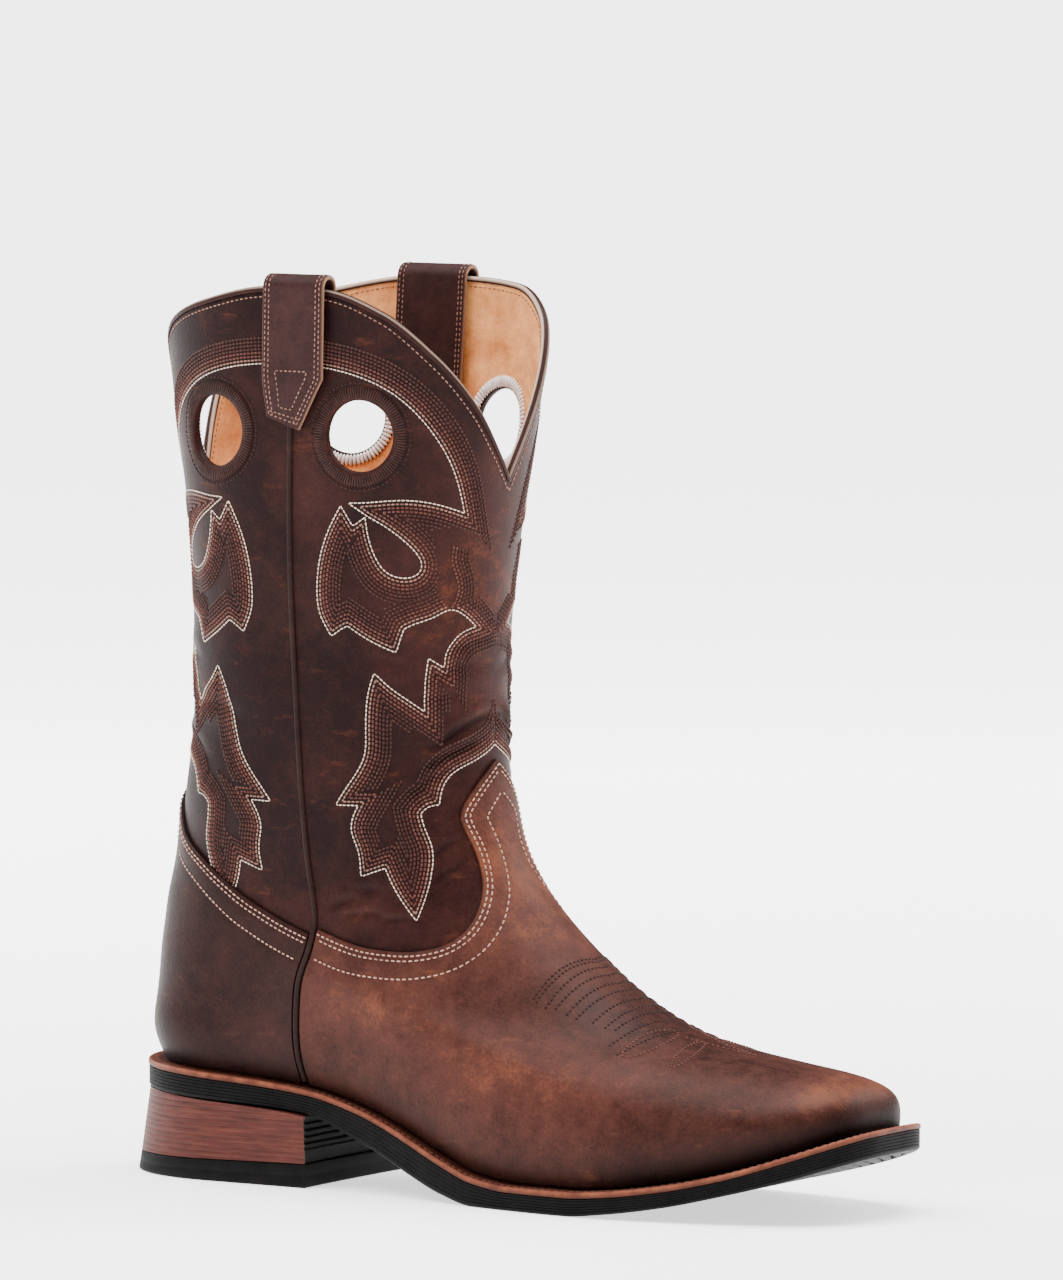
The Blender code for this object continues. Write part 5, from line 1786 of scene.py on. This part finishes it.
@dataclass
class ToeStitching:
    """Dark rows across the vamp in front of the instep, with two loops and a spear on each side."""

    last: Last
    lift: float = 1.55
    exponent: float = 1.2
    swing_share: float = 0.6
    rows: tuple[tuple[float, float, float], ...] = (
        (186.5, 7.5, 27.5), (187.7, 7.3, 27.5), (190.0, 6.0, 27.4), (193.3, 6.0, 26.0),
        (197.0, 5.5, 25.5), (200.5, 5.5, 25.0), (204.8, 4.2, 23.0), (208.8, 3.6, 22.3),
        (212.5, 4.0, 21.0), (217.5, 7.0, 28.0), (225.0, 9.5, 31.0))
    loops: tuple[tuple[float, float, float, float, float], ...] = (
        (221.5, 4.0, 3.0, 18.0, 12.5), (235.8, 2.6, -1.0, 16.0, 12.0))

    def sew(self, hand: Seamstress) -> None:
        """Sews arcs x = front - fall*|y/half|^p, and the loops and spears beside the middle."""
        for front, fall, half in self.rows:
            y = np.linspace(-half, half, 120)
            self._lay(hand, Thread.DARK, front - fall * np.abs(y / half) ** self.exponent, y)
        turn = np.linspace(0.0, 2 * np.pi, 120)
        rise = np.linspace(0.0, 1.0, 60)
        for sign in (-1.0, 1.0):
            for x, wide, lean, y, far in self.loops:
                self._lay(hand, Thread.RUST, x + wide * np.sin(turn) + lean * np.cos(turn),
                          sign * (y - far * np.cos(turn)))
            spear = 6.0 * (1.0 - rise) ** 1.5 + 0.4
            self._lay(hand, Thread.RUST, 228.0 + 26.0 * rise, sign * spear)

    def _lay(self, hand: Seamstress, thread: Thread, x: Array, y: Array) -> None:
        """Lays stitches along a line seen from above, moved over with the toe."""
        stitch = Stitch(pitch=1.9, length=1.2, radius=0.44, proud=0.05)
        level, around = self.last.from_above(x, y + self.swing_share * self.last.swing(x))
        path = self.last.lift(level, around, self.lift)
        hand.trace("toe", thread, stitch, path, self.last.normal(level, around))


@dataclass
class Studio:
    """Pale floor, soft lights and the camera."""

    azimuth: float = 32.07
    elevation: float = 4.71
    distance: float = 4306.4
    lens: float = 341.5
    aim: tuple[float, float, float] = (0.0, 0.0, 165.0)
    aim_right: float = 5.37
    aim_up: float = 31.57
    floor_half: float = 14.0
    floor_lines: int = 60
    floor_glow: tuple[float, float] = (1.25, 4.2)
    glow_span: tuple[float, float] = (0.3, 1.6)
    lamp_aim: float = 0.13
    surround: float = 0.12
    lamps: tuple[tuple[str, tuple[float, float, float], float, float], ...] = (
        ("front", (-0.75, -0.95, 1.85), 1.1, 46.0), ("left", (-1.7, 0.3, 1.0), 1.2, 42.0),
        ("right", (1.0, 1.5, 1.2), 1.2, 44.0), ("top", (0.2, 0.1, 1.9), 1.3, 90.0))

    def build(self, shift_y: float) -> None:
        """Makes the floor, the lights and the camera."""
        self._floor()
        self._lights()
        a, e = np.radians(self.azimuth), np.radians(self.elevation)
        back = np.array([np.sin(a) * np.cos(e), -np.cos(a) * np.cos(e), np.sin(e)])
        right = np.array([np.cos(a), np.sin(a), 0.0])
        up = np.cross(back, right)
        target = np.array(self.aim) + np.array([0.0, shift_y, 0.0])
        target = target + right * self.aim_right + up * self.aim_up
        data = bpy.data.cameras.new("camera")
        data.lens = self.lens
        data.sensor_width = 36.0
        data.clip_end = 100.0
        camera = bpy.data.objects.new("camera", data)
        turn = Matrix(np.column_stack([right, up, back]).tolist())
        camera.matrix_world = Matrix.Translation(Vector((target + back * self.distance) * MM)) @ turn.to_4x4()
        bpy.context.scene.collection.objects.link(camera)
        bpy.context.scene.camera = camera

    def _floor(self) -> None:
        """Makes a flat pale floor that glows more strongly away from the boot."""
        reach = np.linspace(-1.0, 1.0, self.floor_lines) * self.floor_half
        x, y = np.meshgrid(reach, reach, indexing="ij")
        points = np.stack([x, y, np.zeros_like(x)], axis=-1).reshape(-1, 3)
        mesh = bpy.data.meshes.new("floor")
        faces = grid_faces(self.floor_lines, self.floor_lines, False)[:, ::-1]
        mesh.from_pydata(points.tolist(), [], faces.tolist())
        g = Graph("floor_paper", 0.9)
        colour = g.mix(g.noise(3.0, 2.0), tint(250, 250, 250), tint(253, 253, 253))
        away = g.node("VectorMath", "Value", {0: g.place}, operation="LENGTH")
        glow = g.spread(away, *self.glow_span, *self.floor_glow)
        g.fill(g.shader.inputs["Emission Color"], (1.0, 1.0, 1.0))
        g.fill(g.shader.inputs["Emission Strength"], glow)
        mesh.materials.append(g.close(colour))
        floor = bpy.data.objects.new("floor", mesh)
        bpy.context.scene.collection.objects.link(floor)

    def _lights(self) -> None:
        """Makes the soft lights and a pale surround."""
        world = bpy.data.worlds.new("studio")
        world.use_nodes = True
        ground = world.node_tree.nodes["Background"]
        ground.inputs["Color"].default_value = (1.0, 1.0, 1.0, 1.0)
        ground.inputs["Strength"].default_value = self.surround
        bpy.context.scene.world = world
        for name, place, size, power in self.lamps:
            data = bpy.data.lights.new(name, "AREA")
            data.size = size
            data.energy = power
            light = bpy.data.objects.new(name, data)
            light.location = place
            light.rotation_mode = "QUATERNION"
            towards = Vector((0.0, 0.0, self.lamp_aim)) - Vector(place)
            light.rotation_quaternion = towards.to_track_quat("-Z", "Y")
            bpy.context.scene.collection.objects.link(light)


FINISHES: tuple[Union[Leather, Plain], ...] = (
    Leather("shaft_leather", tint(24, 10, 10), tint(50, 25, 21), tint(110, 57, 38)),
    Leather("vamp_leather", tint(36, 18, 15), tint(74, 42, 35), tint(128, 74, 51), 0.46, 0.6),
    Leather("counter_leather", tint(28, 15, 14), tint(51, 29, 26), tint(92, 54, 42), 0.44, 0.55),
    Leather("edge_leather", tint(20, 12, 12), tint(42, 26, 23), tint(88, 52, 40), 0.44, 0.4),
    Leather("strap_leather", tint(31, 17, 17), tint(55, 34, 32), tint(96, 60, 48), 0.46, 0.6,
            tint(140, 104, 82)),
    # collar leather's raw colour shows at the pale cut edge and as the painted highlight on the binding's
    # crown
    Leather("collar_leather", tint(24, 12, 12), tint(48, 27, 24), tint(98, 56, 40), 0.44, 0.4,
            tint(190, 164, 145)),
    Plain("lining_leather", tint(190, 116, 64), tint(242, 174, 110), 0.6, 70.0, 900.0, 0.0004),
    Plain("insole_leather", tint(138, 92, 54), tint(184, 134, 86), 0.6, 60.0),
    Plain("welt_leather", tint(84, 42, 29), tint(134, 74, 52), 0.5, 180.0),
    Plain("sole_rubber", tint(6, 5, 6), tint(15, 13, 13), 0.6, 160.0, gloss=0.08),
    # tread rubber: a light grey copy of the sole rubber, a painted reflection of the pale floor on the
    # forefoot tread
    Plain("tread_rubber", tint(40, 38, 38), tint(74, 71, 70), 0.6, 160.0, gloss=0.05),
    Plain("heel_leather", tint(58, 27, 23), tint(90, 45, 37), 0.5, 300.0, 2600.0, 0.0001, (0.25, 0.25, 3.0)),
    Plain("cap_rubber", tint(6, 5, 6), tint(15, 13, 13), 0.62, 160.0, gloss=0.08),
)


def main() -> None:
    """Builds the boot's pieces in order."""
    logging.basicConfig(level=logging.INFO, format="%(message)s")
    last = Last()
    bench = Bench(last)
    hand = Seamstress(bench)
    made = {finish.name: finish.make() for finish in FINISHES}

    shaft = Shaft(last)
    shaft.build(bench, made["shaft_leather"], made["lining_leather"])
    for overlay in (Overlay(last, "vamp", VAMP_EDGE, True, VAMP_PATCHES),
                    Overlay(last, "counter", COUNTER_EDGE, False, COUNTER_PATCHES, 110, 190)):
        slot = f"{overlay.name}_leather"
        overlay.build(bench, made[slot], slot)
        overlay.sew(hand)
    ShaftPattern(last, shaft).sew(hand)
    binding = Binding(last)
    binding.build(bench, made["collar_leather"])
    binding.sew(hand)
    for strap in (PullStrap(last, Side.OUTER, 12.8, 2.3), PullStrap(last, Side.INNER, 14.8, -0.8)):
        Piping(last).build(bench, strap.side, made["edge_leather"])
        strap.build(bench, made["strap_leather"])
        strap.sew(hand)
    for index, (side, u, z) in enumerate(shaft.hole_centres()):
        HoleRim(last, side, u, z).build(bench, hand, index, made["shaft_leather"])
    bottom = Bottom(last)
    bottom.welt(bench, hand, made["welt_leather"])
    bottom.insole(bench, made["insole_leather"])
    bottom.outsole(bench, made["sole_rubber"], made["tread_rubber"])
    heel = Heel()
    heel.stack(bench, made["heel_leather"], made["sole_rubber"])
    heel.cap(bench, made["cap_rubber"])
    ToeStitching(last).sew(hand)
    hand.finish()
    Studio().build(float(bench.shift[1]))
    log.info("%d triangles in all", bench.triangles)


if __name__ == "__main__":
    main()
